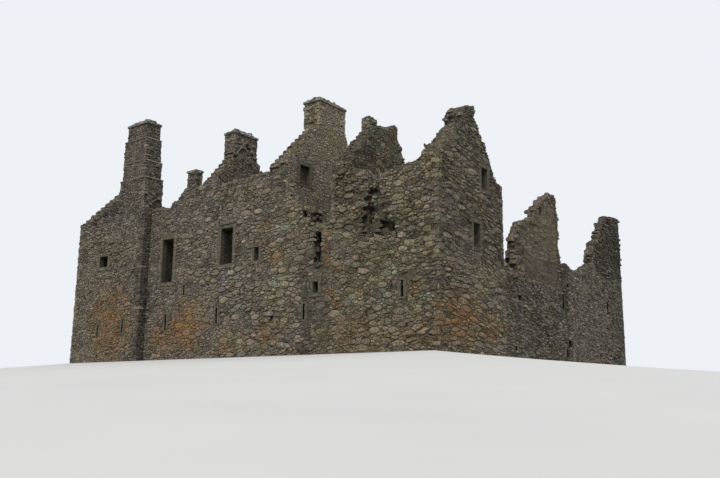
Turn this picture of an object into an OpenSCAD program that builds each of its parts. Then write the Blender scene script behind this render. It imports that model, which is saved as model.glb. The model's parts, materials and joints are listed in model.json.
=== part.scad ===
/* [Main range] */
// Length of the main range, from its left end gable to the outer face of its right end gable
range_l = 16800; // [16000:100:17600]
// Depth of the main range, front face to courtyard face
range_d = 8400; // [8200:100:9000]
// Height of the front wallhead
head_h = 9700; // [9400:50:9900]
// Thickness of the front and courtyard walls
wall_t = 1000; // [900:50:1100]
// Thickness of the gables
gable_t = 1000; // [850:50:1100]
// Length of the left bay, which stands forward of the rest
bay_l = 6450; // [6000:50:6800]
// How far the left bay stands forward
bay_out = 525; // [300:25:700]
// Height of the left bay's wallhead
bay_h = 8800; // [8400:50:9000]
// Level of the hall floor
hall_floor = 4000; // [3900:50:4100]

/* [Chimney stacks] */
// Width of the tall stack on the left bay
tall_w = 2400; // [2200:50:2600]
// Height of the tall stack's head above the ground
tall_h = 14350; // [13800:50:14800]
// Height of the stack on the cross gable
cross_h = 14000; // [13600:50:14300]
// Height of the stack on the end gable
end_h = 14400; // [14000:50:14800]
// How far a cap slab or a drip ledge stands proud
ledge_out = 70; // [60:10:120]
// Thickness of a cap slab
cap_t = 110; // [80:10:140]
// Rise of the weathered head above a cap slab
cap_rise = 320; // [150:10:350]

/* [Corner tower] */
// Width of the corner tower along the front
tower_w = 6100; // [5800:50:6400]
// Depth of the corner tower
tower_d = 6000; // [5950:50:6300]
// Height of its wallhead at the near corner
tower_h = 8800; // [8600:50:9000]
// Thickness of its walls
tower_t = 900; // [800:50:950]
// Length of the ruined link between the main range and the tower
link_l = 3500; // [3300:50:3700]

/* [Right range and old tower] */
// Length of the right range, from the corner tower to the old tower
right_l = 7600; // [7300:50:7700]
// Height of the thick lower wall of the right range
lower_h = 4100; // [3900:50:4300]
// How far the upper wall is set back from the lower one
set_back = 280; // [200:10:350]
// Length of the old tower's outer wall
old_l = 9800; // [9500:50:10000]
// Width of the old tower
old_w = 7600; // [7300:50:8000]
// Thickness of the old tower's walls
old_t = 1500; // [1300:50:1600]
// Length of the old tower's standing corner
corner_l = 2600; // [1600:100:2800]
// Height of the old tower's standing corner
old_h = 10000; // [9600:50:10300]
// Radius of the old tower's rounded corner
old_r = 800; // [700:50:1200]

/* [Openings] */
// Width of a slit at the outer face
slit_w = 130; // [90:5:140]
// Width of the dressed margin round a window
margin_w = 190; // [150:10:220]
// How deep the dressed margin goes into the wall
margin_in = 300; // [250:10:350]
// How far the dressed margin stands proud of the rubble
margin_out = 25; // [15:5:40]

/* [Hidden] */
$fn = 64;

eps = 10;
rubble = [0.44, 0.40, 0.34];
dressed = [0.50, 0.47, 0.42];
slab = [0.33, 0.33, 0.31];
floor_stone = [0.40, 0.39, 0.35];

// Places along the front, measured from the near corner
link_x = -tower_w - link_l;
range_x = link_x - range_l;
bay_x = range_x + bay_l;
cross_x = range_x + 8900;
hall_joint = cross_x + gable_t + 1300;
// Places along the right side, measured from the near corner
old_y = tower_d + right_l;
far_y = old_y + old_l;
// The part's frame has its origin under the middle of the whole
mid_x = (range_x + margin_out) / 2;
mid_y = (far_y - bay_out - ledge_out / 2) / 2;
bay_t = bay_out + 775;
inner_y = range_d - wall_t;

// Puts survey coordinates, taken from the near corner, into the part's frame
module placed() { translate([-mid_x, -mid_y, 0]) children(); }

// Wall that runs along X: outline points are [x, z], the wall fills y to y + t
module wall_x(outline, y, t) {
    translate([0, y + t, 0]) rotate([90, 0, 0]) linear_extrude(t) polygon(outline);
}

// Wall that runs along Y: outline points are [y, z], the wall fills x to x + t
module wall_y(outline, x, t) {
    translate([x, 0, 0]) rotate([90, 0, 90]) linear_extrude(t) polygon(outline);
}

// Box between two corners
module block(a, b) { translate(a) cube(b - a); }

// Turns a local opening, whose x runs along the wall and y goes into it, to face right
module facing_right(x) { translate([x, 0, 0]) rotate([0, 0, 90]) children(); }

// Turns a local opening to face the courtyard
module facing_court(y) { translate([0, y, 0]) mirror([0, 1, 0]) children(); }

// Opening through a wall of thickness t, with a parallel outer part and a splayed inner part
module embrasure(u, z, w, h, t, splay) {
    block([u, -eps, z], [u + w, margin_in + eps, z + h]);
    translate([0, 0, z]) linear_extrude(h) polygon([
        [u, margin_in], [u + w, margin_in], [u + w + splay, t + eps], [u - splay, t + eps]]);
}

// Room in the wall for a dressed margin round an opening
module margin_bed(u, z, w, h) {
    block([u - margin_w, -eps, z - margin_w], [u + w + margin_w, margin_in, z + h + margin_w]);
}

// Dressed margin: sill, jambs and lintel as one ring that fills its bed
module margin(u, z, w, h) {
    difference() {
        block([u - margin_w, -margin_out, z - margin_w], [u + w + margin_w, margin_in, z + h + margin_w]);
        block([u, -margin_out - eps, z], [u + w, margin_in + eps, z + h]);
    }
}

// Narrow slit, splayed inside
module slit(u, z, h, t) { embrasure(u - slit_w / 2, z, slit_w, h, t, 260); }

// Points of a crow-stepped rake that climbs from one point to another in n steps
function steps_up(a, b, n) = [
    for (i = [0 : n - 1]) each [
        [a[0] + (b[0] - a[0]) * i / n, a[1] + (b[1] - a[1]) * (i + 1) / n],
        [a[0] + (b[0] - a[0]) * (i + 1) / n, a[1] + (b[1] - a[1]) * (i + 1) / n]]];

// The same rake going down
function steps_down(a, b, n) = [
    for (i = [0 : n - 1]) each [
        [a[0] + (b[0] - a[0]) * (i + 1) / n, a[1] + (b[1] - a[1]) * i / n],
        [a[0] + (b[0] - a[0]) * (i + 1) / n, a[1] + (b[1] - a[1]) * (i + 1) / n]]];

// Hipped head over a rectangle: slopes on all four sides up to a small flat
module hipped(a, b, run, rise) {
    intersection() {
        wall_x([[a[0], a[2]], [b[0], a[2]], [b[0] - run, a[2] + rise], [a[0] + run, a[2] + rise]],
            a[1], b[1] - a[1]);
        wall_y([[a[1], a[2]], [b[1], a[2]], [b[1] - run, a[2] + rise], [a[1] + run, a[2] + rise]],
            a[0], b[0] - a[0]);
    }
}

// Chimney cap: a projecting slab under a weathered, hipped head
module cap(a, b) {
    out = ledge_out;
    block([a[0] - out, a[1] - out, a[2]], [b[0] + out, b[1] + out, a[2] + cap_t]);
    hipped(a + [0, 0, cap_t], b + [0, 0, cap_t], 360, cap_rise);
}

// Left end gable of the main range, crow-stepped in front and broken down behind
left_apex = 13150;
module left_gable() {
    color(rubble) wall_y(concat(
        [[-bay_out, 0], [-bay_out, bay_h - 400]],
        steps_up([-bay_out, bay_h - 400], [4100, left_apex], 14),
        [[4300, left_apex], [4400, 12500], [4750, 11900], [4850, 11100], [5300, 10800], [5600, 10200],
            [6300, 9950], [6900, 9400], [7700, 9150], [range_d, 8500], [range_d, 0]]), range_x, tower_t);
}

// Front wall of the left bay
bay_window = [bay_x - 4120, 5750, 820, 650];
module left_bay_front() {
    x0 = range_x + tower_t;
    color(rubble) difference() {
        wall_x([[x0, 0], [bay_x, 0], [bay_x, bay_h + 200], [bay_x - 150, bay_h + 200], [bay_x - 150, bay_h],
            [x0 + 900, bay_h], [x0 + 900, bay_h - 250], [x0, bay_h - 400]], -bay_out, bay_t);
        translate([0, -bay_out, 0]) {
            embrasure(bay_window[0], bay_window[1], bay_window[2], bay_window[3], bay_t, 250);
            margin_bed(bay_window[0], bay_window[1], bay_window[2], bay_window[3]);
            slit(bay_x - 3850, 1600, 650, bay_t);
            slit(bay_x - 1450, 1650, 800, bay_t);
        }
    }
}

// Tall stack on the left bay, in tiers that step in over drip ledges.
// A tier is [left x, right x, front y, back y, foot, head]
tall_x = bay_x - 150;
tall_tiers = [
    [tall_x - tall_w, tall_x, -bay_out, 750, bay_h, 10950],
    [tall_x - tall_w + 150, tall_x - 150, -bay_out + 50, 700, 10950, 12050],
    [tall_x - tall_w + 150, tall_x - 170, -bay_out + 50, 600, 12050, 13450],
    [tall_x - tall_w + 300, tall_x - 280, -bay_out + 100, 540, 13450, tall_h],
];
module tall_stack() {
    color(rubble) for (t = tall_tiers) block([t[0], t[2], t[4]], [t[1], t[3], t[5]]);
}

// Drip ledge: a thin slab ring that stands proud of a tier just below its head
module drip(t, h) {
    difference() {
        block([t[0] - ledge_out / 2, t[2] - ledge_out / 2, t[5] - h],
            [t[1] + ledge_out / 2, t[3] + ledge_out / 2, t[5]]);
        block([t[0], t[2], t[5] - h - eps], [t[1], t[3], t[5] + eps]);
    }
}

// The raking drip stands on the right face, where a roof once met the stack
module tall_stack_ledges() {
    color(slab) {
        for (i = [0 : 2]) drip(tall_tiers[i], 70);
        wall_y([[-bay_out, bay_h + 300], [-bay_out, bay_h + 200], [-200, bay_h + 400], [750, 9950],
            [750, 10050], [-200, bay_h + 500]], tall_x, 70);
    }
}

module tall_stack_cap() {
    t = tall_tiers[3];
    color(slab) cap([t[0], t[2], tall_h], [t[1], t[3], tall_h]);
}

// Hall wall, left part, with the wallhead gablet that carries the small stack
small_x = cross_x + 500;
hall_window_1 = [bay_x + 1200, 4420, 970, 2530];
module hall_wall_west() {
    color(rubble) difference() {
        wall_x([[bay_x, 0], [hall_joint, 0], [hall_joint, head_h - 50], [small_x + 900, head_h],
            [small_x + 850, head_h + 100], [small_x - 50, head_h + 100], [small_x - 200, head_h - 50],
            [small_x - 450, head_h - 300], [small_x - 700, head_h - 600], [small_x - 1150, head_h - 600],
            [small_x - 1200, head_h - 900], [bay_x + 1100, head_h - 800], [bay_x, head_h - 650]], 0, wall_t);
        embrasure(hall_window_1[0], hall_window_1[1], hall_window_1[2], hall_window_1[3], wall_t, 200);
        margin_bed(hall_window_1[0], hall_window_1[1], hall_window_1[2], hall_window_1[3]);
        slit(bay_x + 1800, 1700, 900, wall_t);
        slit(bay_x + 3250, 3600, 550, wall_t);
    }
}

hall_window_2 = [link_x - 4250, 5000, 930, 2000];
hall_window_3 = [link_x - 1700, 5000, 350, 700];
module hall_wall_east() {
    x1 = link_x - gable_t;
    color(rubble) difference() {
        wall_x([[hall_joint, 0], [x1, 0], [x1, head_h], [x1 - 700, head_h - 60], [x1 - 1900, head_h - 100],
            [x1 - 3000, head_h - 150], [hall_joint + 700, head_h], [hall_joint, head_h]], 0, wall_t);
        for (w = [hall_window_2, hall_window_3]) {
            embrasure(w[0], w[1], w[2], w[3], wall_t, 200);
            margin_bed(w[0], w[1], w[2], w[3]);
        }
        slit(link_x - 4360, 1850, 850, wall_t);
    }
}

small_h = 10700;
small_w = 700;
module small_stack() {
    color(rubble) block([small_x, 100, head_h + 100], [small_x + small_w, 550, small_h]);
}

module small_stack_cap() {
    out = 60;
    color(slab) {
        block([small_x - out, 100 - out, small_h], [small_x + small_w + out, 550 + out, small_h + 60]);
        hipped([small_x, 100, small_h + 60], [small_x + small_w, 550, small_h + 60], 180, 60);
    }
}

// Cross gable between the bay's room and the hall, with its stack
cross_foot = head_h + 250;
cross_seat = 12500;
cross_y = 3300;
cross_l = 1850;
module cross_gable() {
    color(rubble) difference() {
        wall_y(concat(
            [[wall_t, 0], [wall_t, cross_foot - 350]],
            steps_up([wall_t + 150, cross_foot - 350], [cross_y + 100, cross_seat - 150], 8),
            [[cross_y + 100, cross_seat], [cross_y + cross_l, cross_seat]],
            steps_down([cross_y + cross_l - 50, cross_seat - 150], [inner_y, cross_foot - 500], 8),
            [[inner_y, 0]]), cross_x, gable_t);
        block([cross_x - eps, 4600, 0 - eps], [cross_x + gable_t + eps, 5500, 2000]);
        block([cross_x - eps, 5400, hall_floor], [cross_x + gable_t + eps, 6400, hall_floor + 2100]);
    }
}

module cross_stack() {
    color(rubble) block([cross_x, cross_y, cross_seat], [cross_x + gable_t - 100, cross_y + cross_l, cross_h]);
}

// Front drip ledge, and the two raking drips where a roof once met the stack
module cross_stack_ledges() {
    x1 = cross_x + gable_t - 100;
    apex_z = cross_h - 250;
    drop = cross_l / 2 * 1.2;
    color(slab) {
        block([cross_x, cross_y - ledge_out, cross_seat + 250], [x1, cross_y, cross_seat + 320]);
        wall_y([[cross_y, apex_z - drop], [cross_y + cross_l / 2, apex_z], [cross_y + cross_l, apex_z - drop],
            [cross_y + cross_l, apex_z - drop - 110], [cross_y + cross_l / 2, apex_z - 110],
            [cross_y, apex_z - drop - 110]], x1, 80);
    }
}

module cross_stack_cap() {
    color(slab) cap([cross_x, cross_y, cross_h], [cross_x + gable_t - 100, cross_y + cross_l, cross_h]);
}

// Right end gable of the main range, with the blocked attic window and a small loop
end_seat = 12950;
end_y = 3050;
end_l = 2300;
module end_gable() {
    x0 = link_x - gable_t;
    color(rubble) difference() {
        wall_y(concat(
            [[0, 0], [0, head_h - 50], [250, head_h - 50], [250, head_h + 150]],
            steps_up([300, head_h + 150], [end_y, end_seat - 250], 9),
            [[end_y, end_seat], [end_y + end_l, end_seat]],
            steps_down([end_y + end_l - 100, end_seat - 300], [range_d, head_h - 600], 10),
            [[range_d, 0]]), x0, gable_t);
        block([link_x - 280, 1550, 9200], [link_x + eps, 2350, 10300]);
        block([link_x - 450, -eps, 1800], [link_x - 200, 500, 2050]);
    }
}

module end_stack() {
    color(rubble) block([link_x - gable_t - 130, end_y, end_seat], [link_x, end_y + end_l - 50, end_h]);
}

module end_stack_ledge() {
    x0 = link_x - gable_t;
    color(slab) block([x0 - 130, end_y - ledge_out, end_seat + 280], [link_x - 350, end_y, end_seat + 350]);
}

module end_stack_cap() {
    x0 = link_x - gable_t;
    color(slab) cap([x0 - 130, end_y, end_h], [link_x, end_y + end_l - 50, end_h]);
}

// Courtyard walls of the main range: a door to each vault and a row of hall windows.
// A window is [left x, sill]
court_door = [1000, 1950];
court_window = [900, 1700];
module court_hole(x, z, size) { facing_court(range_d) embrasure(x, z, size[0], size[1], wall_t, 200); }

module court_wall_west() {
    x0 = range_x + tower_t;
    x1 = cross_x + gable_t / 2;
    color(rubble) difference() {
        wall_x([[x0, 0], [x1, 0], [x1, 8300], [x1 - 1400, 8000], [x1 - 2300, 8350], [x1 - 4200, 8200],
            [x0 + 2000, 7700], [x0 + 900, 8100], [x0, 8500]], inner_y, wall_t);
        court_hole(x0 + 3600, 0 - eps, court_door + [0, eps]);
        court_hole(x0 + 1500, hall_floor + 900, court_window);
        court_hole(x0 + 5400, hall_floor + 900, court_window);
    }
}

module court_wall_east() {
    x0 = cross_x + gable_t / 2;
    x1 = link_x - gable_t;
    color(rubble) difference() {
        wall_x([[x0, 0], [x1, 0], [x1, 8900], [x1 - 900, 8300], [x1 - 2100, 7600], [x1 - 3000, 7800],
            [x1 - 4300, 8200], [x0, 8300]], inner_y, wall_t);
        court_hole(x0 + 2300, 0 - eps, court_door + [0, eps]);
        court_hole(x0 + 1300, hall_floor + 900, court_window);
        court_hole(x0 + 4000, hall_floor + 900, court_window);
    }
}

// Barrel vault that carries a floor: a block whose underside is a segment of a cylinder
vault_spring = 2800;
vault_rise = 750;
module vault(x0, x1, y0, y1, top) {
    span = y1 - y0;
    r = (span * span / 4 + vault_rise * vault_rise) / (2 * vault_rise);
    difference() {
        block([x0, y0, vault_spring], [x1, y1, top]);
        translate([x0 - eps, (y0 + y1) / 2, vault_spring + vault_rise - r])
            rotate([0, 90, 0]) cylinder(r = r, h = x1 - x0 + 2 * eps, $fn = 180);
    }
}

module west_vault() {
    color(floor_stone) vault(range_x + tower_t, cross_x, wall_t, inner_y, hall_floor);
}

module east_vault() {
    color(floor_stone) vault(cross_x + gable_t, link_x - gable_t, wall_t, inner_y, hall_floor);
}

// Ruined link between the end gable and the corner tower
link_window = [link_x + 2400, 3000, 350, 550];
module link_front() {
    x0 = link_x;
    x1 = -tower_w;
    color(rubble) difference() {
        wall_x([[x0, 0], [x1, 0], [x1, 6800], [x1 - 250, 6550], [x1 - 600, 6400], [x1 - 1050, 6350],
            [x0 + 2150, 6600], [x0 + 2100, 7200], [x0 + 1900, 7400], [x0 + 1400, 7500], [x0 + 1000, 7750],
            [x0 + 700, 8250], [x0 + 250, 8800], [x0, 9200]], 0, tower_t);
        block([x0 + 1640, -eps, 6850], [x0 + 1980, 450, 7200]);
        wall_x([[x1 - 620, 4500], [x1 - 560, 5300], [x1 - 600, 5950], [x1 - 850, 6050], [x1 - 1150, 5900],
            [x1 - 1090, 5300], [x1 - 1060, 4500]], -eps, 600);
        embrasure(link_window[0], link_window[1], link_window[2], link_window[3], tower_t, 200);
        margin_bed(link_window[0], link_window[1], link_window[2], link_window[3]);
        slit(x0 + 1850, 1750, 750, tower_t);
    }
}

module link_court() {
    x0 = link_x;
    x1 = -tower_w;
    y1 = tower_d;
    color(rubble) difference() {
        wall_x([[x0, 0], [x1, 0], [x1, 6200], [x1 - 700, 5700], [x1 - 1500, 5200], [x0 + 1000, 5600],
            [x0, 6300]], y1 - tower_t, tower_t);
        facing_court(y1) embrasure(x0 + 1250, 0 - eps, 1000, 1950 + eps, tower_t, 150);
    }
}

// Front wall of the corner tower, with the hollow where its outer face has fallen
module tower_front() {
    x0 = -tower_w + gable_t;
    color(rubble) difference() {
        wall_x([[x0, 0], [-tower_t, 0], [-tower_t, tower_h], [-1200, 8600], [-1800, 8550], [-2100, 8400],
            [-2700, 8350], [-3400, 8250], [-4000, 8450], [-4600, 8800], [x0, 9000]], 0, tower_t);
        // fallen outer face, then the two places where the core has gone too
        wall_x([[-4350, 5500], [-3650, 5320], [-2900, 5330], [-2300, 5450], [-2280, 5800], [-2700, 6050],
            [-2650, 6350], [-2950, 6500], [-2900, 6850], [-3150, 7050], [-3100, 7400], [-3400, 7650],
            [-3850, 7700], [-3900, 7400], [-4150, 7250], [-3950, 6950], [-4250, 6800], [-4050, 6500],
            [-4400, 6300], [-4200, 5950]], -eps, 300);
        wall_x([[-3500, 5550], [-2450, 5580], [-2450, 5760], [-2900, 6020], [-3350, 6200]], 200, 400);
        wall_x([[-4050, 6100], [-3800, 6000], [-3650, 6650], [-3850, 7150], [-4050, 6850]], 200, 350);
        slit(-1950, 2450, 750, tower_t);
    }
}

stub_y = 2400;
stub_l = 1750;
stub_seat = 11550;
module tower_west_gable() {
    color(rubble) wall_y(concat(
        [[0, 0], [0, 9000]],
        steps_up([0, 9000], [stub_y, stub_seat], 9),
        [[stub_y + stub_l, stub_seat], [4350, 11300], [4550, 10900], [4850, 10400], [5150, 9800],
            [5600, 9250], [tower_d, 8900], [tower_d, 0]]), -tower_w, gable_t);
}

module tower_stub() {
    color(rubble) {
        wall_y([[stub_y, stub_seat], [stub_y + stub_l, stub_seat], [stub_y + stub_l, 12150], [3900, 12250],
            [3700, 12050], [3200, 11900], [2700, 11850], [stub_y, 11750]], -tower_w, gable_t);
        wall_y([[stub_y, 11700], [3100, 11700], [3000, 12150], [2800, 12400], [stub_y, 12400]], -tower_w, 480);
    }
}

module tower_stub_ledge() {
    color(slab) block([-tower_w, stub_y - ledge_out, stub_seat], [-tower_w + 800, stub_y, stub_seat + 70]);
}

tower_window_low = [3050, 5000, 620, 1150];
tower_window_high = [3900, 7950, 600, 1080];
module tower_east_gable() {
    color(rubble) difference() {
        wall_y([[0, 0], [0, tower_h], [400, 9300], [930, 9650], [1450, 10250], [1720, 10550], [2090, 10800],
            [2050, 11250], [2400, 11700], [2900, 11850], [3250, 11950], [3450, 11650], [3200, 11400],
            [3600, 11100], [3800, 10800], [3950, 10400], [4400, 10300], [4350, 10000], [4700, 9700],
            [5000, 9200], [5150, 8900], [5400, 8600], [tower_d, 8500], [tower_d, 0]], -tower_t, tower_t);
        facing_right(0) for (w = [tower_window_low, tower_window_high]) {
            embrasure(w[0], w[1], w[2], w[3], tower_t, 180);
            margin_bed(w[0], w[1], w[2], w[3]);
        }
    }
}

module tower_court() {
    x0 = -tower_w + gable_t;
    color(rubble) difference() {
        wall_x([[x0, 0], [-tower_t, 0], [-tower_t, 8300], [-1700, 7900], [-2600, 7500], [-3300, 7700],
            [-4300, 8300], [x0, 8700]], tower_d - tower_t, tower_t);
        facing_court(tower_d) {
            embrasure(-2400, 0 - eps, 1000, 1950 + eps, tower_t, 150);
            embrasure(-3500, hall_floor + 900, 700, 1200, tower_t, 180);
        }
    }
}

module tower_vault() {
    color(floor_stone) vault(-tower_w + gable_t, -tower_t, tower_t, tower_d - tower_t, hall_floor);
}

// Outer wall of the right range: a thick lower wall and a thinner, smoother upper one
right_t = 1200;
module right_lower_wall() {
    y0 = tower_d;
    y1 = old_y;
    color(rubble) difference() {
        wall_y([[y0, 0], [y1, 0], [y1, lower_h], [y0 + 1700, lower_h], [y0 + 1300, 4350], [y0 + 700, 4500],
            [y0, 4700]], -right_t, right_t);
        facing_right(0) {
            slit(y1 - 560, 3000, 800, right_t);
            block([y1 - 420, -eps, 300], [y1 - 60, 600, 750]);
            block([y0 + 1000, -eps, 400], [y0 + 1200, 400, 600]);
            block([y0 + 1500, -eps, 2950], [y0 + 1850, 450, 3200]);
        }
    }
}

module right_upper_wall() {
    y0 = tower_d;
    y1 = old_y;
    h = lower_h;
    color(rubble) difference() {
        union() {
            wall_y([[y0 + 1700, h], [y1, h], [y1, 5750], [y1 - 100, 6200], [y1 - 300, 6700], [y1 - 100, 7400],
                [y1 - 200, 7700], [y1 - 150, 8300], [y1 - 350, 8800], [y1 - 350, 9300], [y1 - 700, 9600],
                [y1 - 1200, 9550], [y1 - 1700, 9250], [y0 + 5300, 8950], [y0 + 5100, 8700], [y0 + 4450, 8350],
                [y0 + 4300, 7850], [y0 + 3700, 7600], [y0 + 3500, 7450], [y0 + 2850, 7350], [y0 + 2500, 7200],
                [y0 + 2400, 6650], [y0 + 2200, 6300], [y0 + 2250, 5700], [y0 + 2050, 5200], [y0 + 2100, 4600]],
                -700, 700 - set_back);
            wall_y([[y0 + 1900, h], [y1, h], [y1, 5500], [y1 - 400, 6300], [y1 - 450, 7600], [y1 - 900, 8300],
                [y0 + 5200, 7900], [y0 + 4400, 7400], [y0 + 3600, 7250], [y0 + 3250, 7100], [y0 + 3050, 6700],
                [y0 + 2800, 6500], [y0 + 2850, 6000], [y0 + 2600, 5500], [y0 + 2650, 5100], [y0 + 2350, 4700]],
                -right_t, right_t - 700 + eps);
        }
        facing_right(-set_back) block([y0 + 5000, -eps, 8300], [y0 + 5200, 450, 8600]);
    }
}

module right_court_wall() {
    y0 = tower_d;
    y1 = old_y;
    color(rubble) difference() {
        wall_y([[y0, 0], [y1, 0], [y1, 3600], [y1 - 900, 3100], [y1 - 2300, 2900], [y1 - 3600, 3300],
            [y0 + 2200, 2700], [y0 + 1100, 3200], [y0, 4100]], -tower_w, tower_t);
        block([-tower_w - eps, y0 + 3000, 0 - eps], [-tower_w + tower_t + eps, y0 + 4100, 2000]);
    }
}

// Old tower: its outer wall is down to a low saddle and climbs to the standing corner
module old_tower_front() {
    y0 = old_y;
    y1 = far_y - corner_l;
    color(rubble) difference() {
        union() {
            wall_y([[y0, 0], [y1, 0], [y1, 9800], [y1 - 400, 9700], [y1 - 650, 9550], [y1 - 850, 9300],
                [y1 - 1150, 9150], [y1 - 1250, 8850], [y1 - 1500, 8700], [y1 - 1600, 8400], [y1 - 1900, 8250],
                [y1 - 2050, 7950], [y1 - 2400, 7800], [y1 - 2600, 7450], [y1 - 2900, 7350], [y1 - 3300, 7050],
                [y1 - 3450, 6700], [y1 - 3400, 6250], [y1 - 3900, 6000], [y1 - 4600, 5750], [y0 + 1900, 5450],
                [y0 + 1300, 5350], [y0 + 800, 5450], [y0, 5700]], -350, 350);
            wall_y([[y0, 0], [y1, 0], [y1, 6900], [y1 - 700, 6500], [y1 - 1500, 6350], [y1 - 2600, 5900],
                [y1 - 4200, 5500], [y0 + 1500, 5300], [y0, 5500]], -old_t, old_t - 350 + eps);
        }
        facing_right(0) {
            slit(y0 + 6300, 3300, 800, old_t);
            block([y0 + 100, -eps, 4300], [y0 + 350, 500, 4600]);
            block([y0 + 50, -eps, 950], [y0 + 400, 500, 1300]);
        }
    }
}

module old_tower_corner() {
    y0 = far_y - corner_l;
    color(rubble) intersection() {
        wall_y([[y0, 0], [far_y, 0], [far_y, old_h - 350], [far_y - 350, old_h], [far_y - 1300, old_h - 50],
            [y0 + 500, old_h - 150], [y0, old_h - 250]], -old_t, old_t);
        wall_x([[-old_t, 0], [0, 0], [0, old_h], [-350, old_h], [-450, 9300], [-800, 9000], [-1000, 8400],
            [-old_t, 8200]], y0, corner_l);
        union() {
            block([-old_t - eps, y0 - eps, -eps], [0, far_y - old_r, old_h + eps]);
            block([-old_t - eps, y0 - eps, -eps], [-old_r, far_y, old_h + eps]);
            translate([-old_r, far_y - old_r, -eps]) cylinder(r = old_r, h = old_h + 2 * eps);
        }
    }
}

module old_tower_far_wall() {
    color(rubble) wall_x([[-old_w, 0], [-old_t, 0], [-old_t, 8100], [-old_t - 300, 7700],
        [-old_t - 500, 7100], [-old_t - 1000, 6700], [-old_t - 1300, 6100], [-old_t - 2300, 5500],
        [-old_t - 3600, 4900], [-old_w, 4300]], far_y - old_t, old_t);
}

module old_tower_court() {
    y0 = old_y + old_t;
    y1 = far_y - old_t;
    color(rubble) difference() {
        wall_y([[y0, 0], [y1, 0], [y1, 4200], [y1 - 1500, 3700], [y1 - 2700, 4400], [y0 + 1700, 4700],
            [y0 + 800, 5200], [y0, 5500]], -old_w, old_t);
        block([-old_w - eps, y0 + 2600, 0 - eps], [-old_w + old_t + eps, y0 + 3700, 2050]);
    }
}

module old_tower_party() {
    color(rubble) wall_x([[-old_w, 0], [-old_t, 0], [-old_t, 5600], [-old_t - 1200, 5300],
        [-old_t - 2600, 4700], [-old_t - 4200, 5100], [-old_w, 5500]], old_y, old_t);
}

// Dressed margins
module hall_window_margins() {
    color(dressed) for (w = [hall_window_1, hall_window_2]) margin(w[0], w[1], w[2], w[3]);
}

module tower_window_margins() {
    color(dressed) facing_right(0) for (w = [tower_window_low, tower_window_high]) margin(w[0], w[1], w[2], w[3]);
}

module small_window_margins() {
    color(dressed) {
        translate([0, -bay_out, 0]) margin(bay_window[0], bay_window[1], bay_window[2], bay_window[3]);
        margin(hall_window_3[0], hall_window_3[1], hall_window_3[2], hall_window_3[3]);
        margin(link_window[0], link_window[1], link_window[2], link_window[3]);
    }
}

// Moulded string over the second hall window
module hall_string() {
    w = hall_window_2;
    z = w[1] + w[3] + margin_w + 20;
    color(dressed) block([w[0] - 150, -70, z], [w[0] + w[2] + 60, 0, z + 110]);
}

placed() {
    left_gable();
    left_bay_front();
    tall_stack();
    tall_stack_ledges();
    tall_stack_cap();
    hall_wall_west();
    hall_wall_east();
    small_stack();
    small_stack_cap();
    cross_gable();
    cross_stack();
    cross_stack_ledges();
    cross_stack_cap();
    end_gable();
    end_stack();
    end_stack_ledge();
    end_stack_cap();
    court_wall_west();
    court_wall_east();
    west_vault();
    east_vault();
    link_front();
    link_court();
    tower_front();
    tower_west_gable();
    tower_stub();
    tower_stub_ledge();
    tower_east_gable();
    tower_court();
    tower_vault();
    right_lower_wall();
    right_upper_wall();
    right_court_wall();
    old_tower_front();
    old_tower_corner();
    old_tower_far_wall();
    old_tower_court();
    old_tower_party();
    hall_window_margins();
    tower_window_margins();
    small_window_margins();
    hall_string();
}
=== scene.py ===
"""Looks of the ruined keep: rubble stones laid over the walls, dressed work, caps, plaster, light and camera."""

import json
import logging
import math
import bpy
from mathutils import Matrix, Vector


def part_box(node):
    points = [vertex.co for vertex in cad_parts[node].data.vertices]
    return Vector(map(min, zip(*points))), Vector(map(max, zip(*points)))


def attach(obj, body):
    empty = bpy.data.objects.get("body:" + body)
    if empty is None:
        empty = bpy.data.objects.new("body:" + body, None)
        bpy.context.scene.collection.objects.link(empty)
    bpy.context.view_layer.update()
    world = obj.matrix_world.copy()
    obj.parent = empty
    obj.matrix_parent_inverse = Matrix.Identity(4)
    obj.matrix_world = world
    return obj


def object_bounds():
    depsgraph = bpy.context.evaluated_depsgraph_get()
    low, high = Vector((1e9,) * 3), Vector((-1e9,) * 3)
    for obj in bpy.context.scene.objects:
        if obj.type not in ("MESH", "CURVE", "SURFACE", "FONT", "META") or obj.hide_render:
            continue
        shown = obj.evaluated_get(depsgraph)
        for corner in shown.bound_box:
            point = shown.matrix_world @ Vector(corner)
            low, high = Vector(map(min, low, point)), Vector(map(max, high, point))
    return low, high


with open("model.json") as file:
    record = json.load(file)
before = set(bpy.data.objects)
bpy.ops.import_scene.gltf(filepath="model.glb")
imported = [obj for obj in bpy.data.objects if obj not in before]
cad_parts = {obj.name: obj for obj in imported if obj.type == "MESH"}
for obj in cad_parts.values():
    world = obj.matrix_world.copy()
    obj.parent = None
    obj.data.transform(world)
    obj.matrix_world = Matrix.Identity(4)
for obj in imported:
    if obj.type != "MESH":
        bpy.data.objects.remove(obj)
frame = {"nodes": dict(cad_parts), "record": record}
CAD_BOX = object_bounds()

from copy import copy
from dataclasses import dataclass, field
from enum import Enum

import bmesh
import bpy
import numpy as np
from mathutils import Matrix, Vector
from mathutils.bvhtree import BVHTree

LOG = logging.getLogger("keep")

# The near corner of the tower, at the ground, in the part's frame: the margins stand 25 mm beyond it on one side,
# the left bay and its stack's ledges 560 mm on the other
CORNER = Vector((CAD_BOX[1][0] - 0.025, CAD_BOX[0][1] + 0.56, 0.0))
# Step of the grids on which the walls' faces are read, and how far the lime-faced wall stands back, in metres
PITCH = 0.025
SET_BACK = 0.28
BODY = "root"
UP = np.array([0.0, 0.0, 1.0])
# Where the values of the fine and the broad noises start and end
FINE = (0.34, 0.66)
BROAD = (0.35, 0.65)
Socket = bpy.types.NodeSocket
Point = tuple[float, float]


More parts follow.
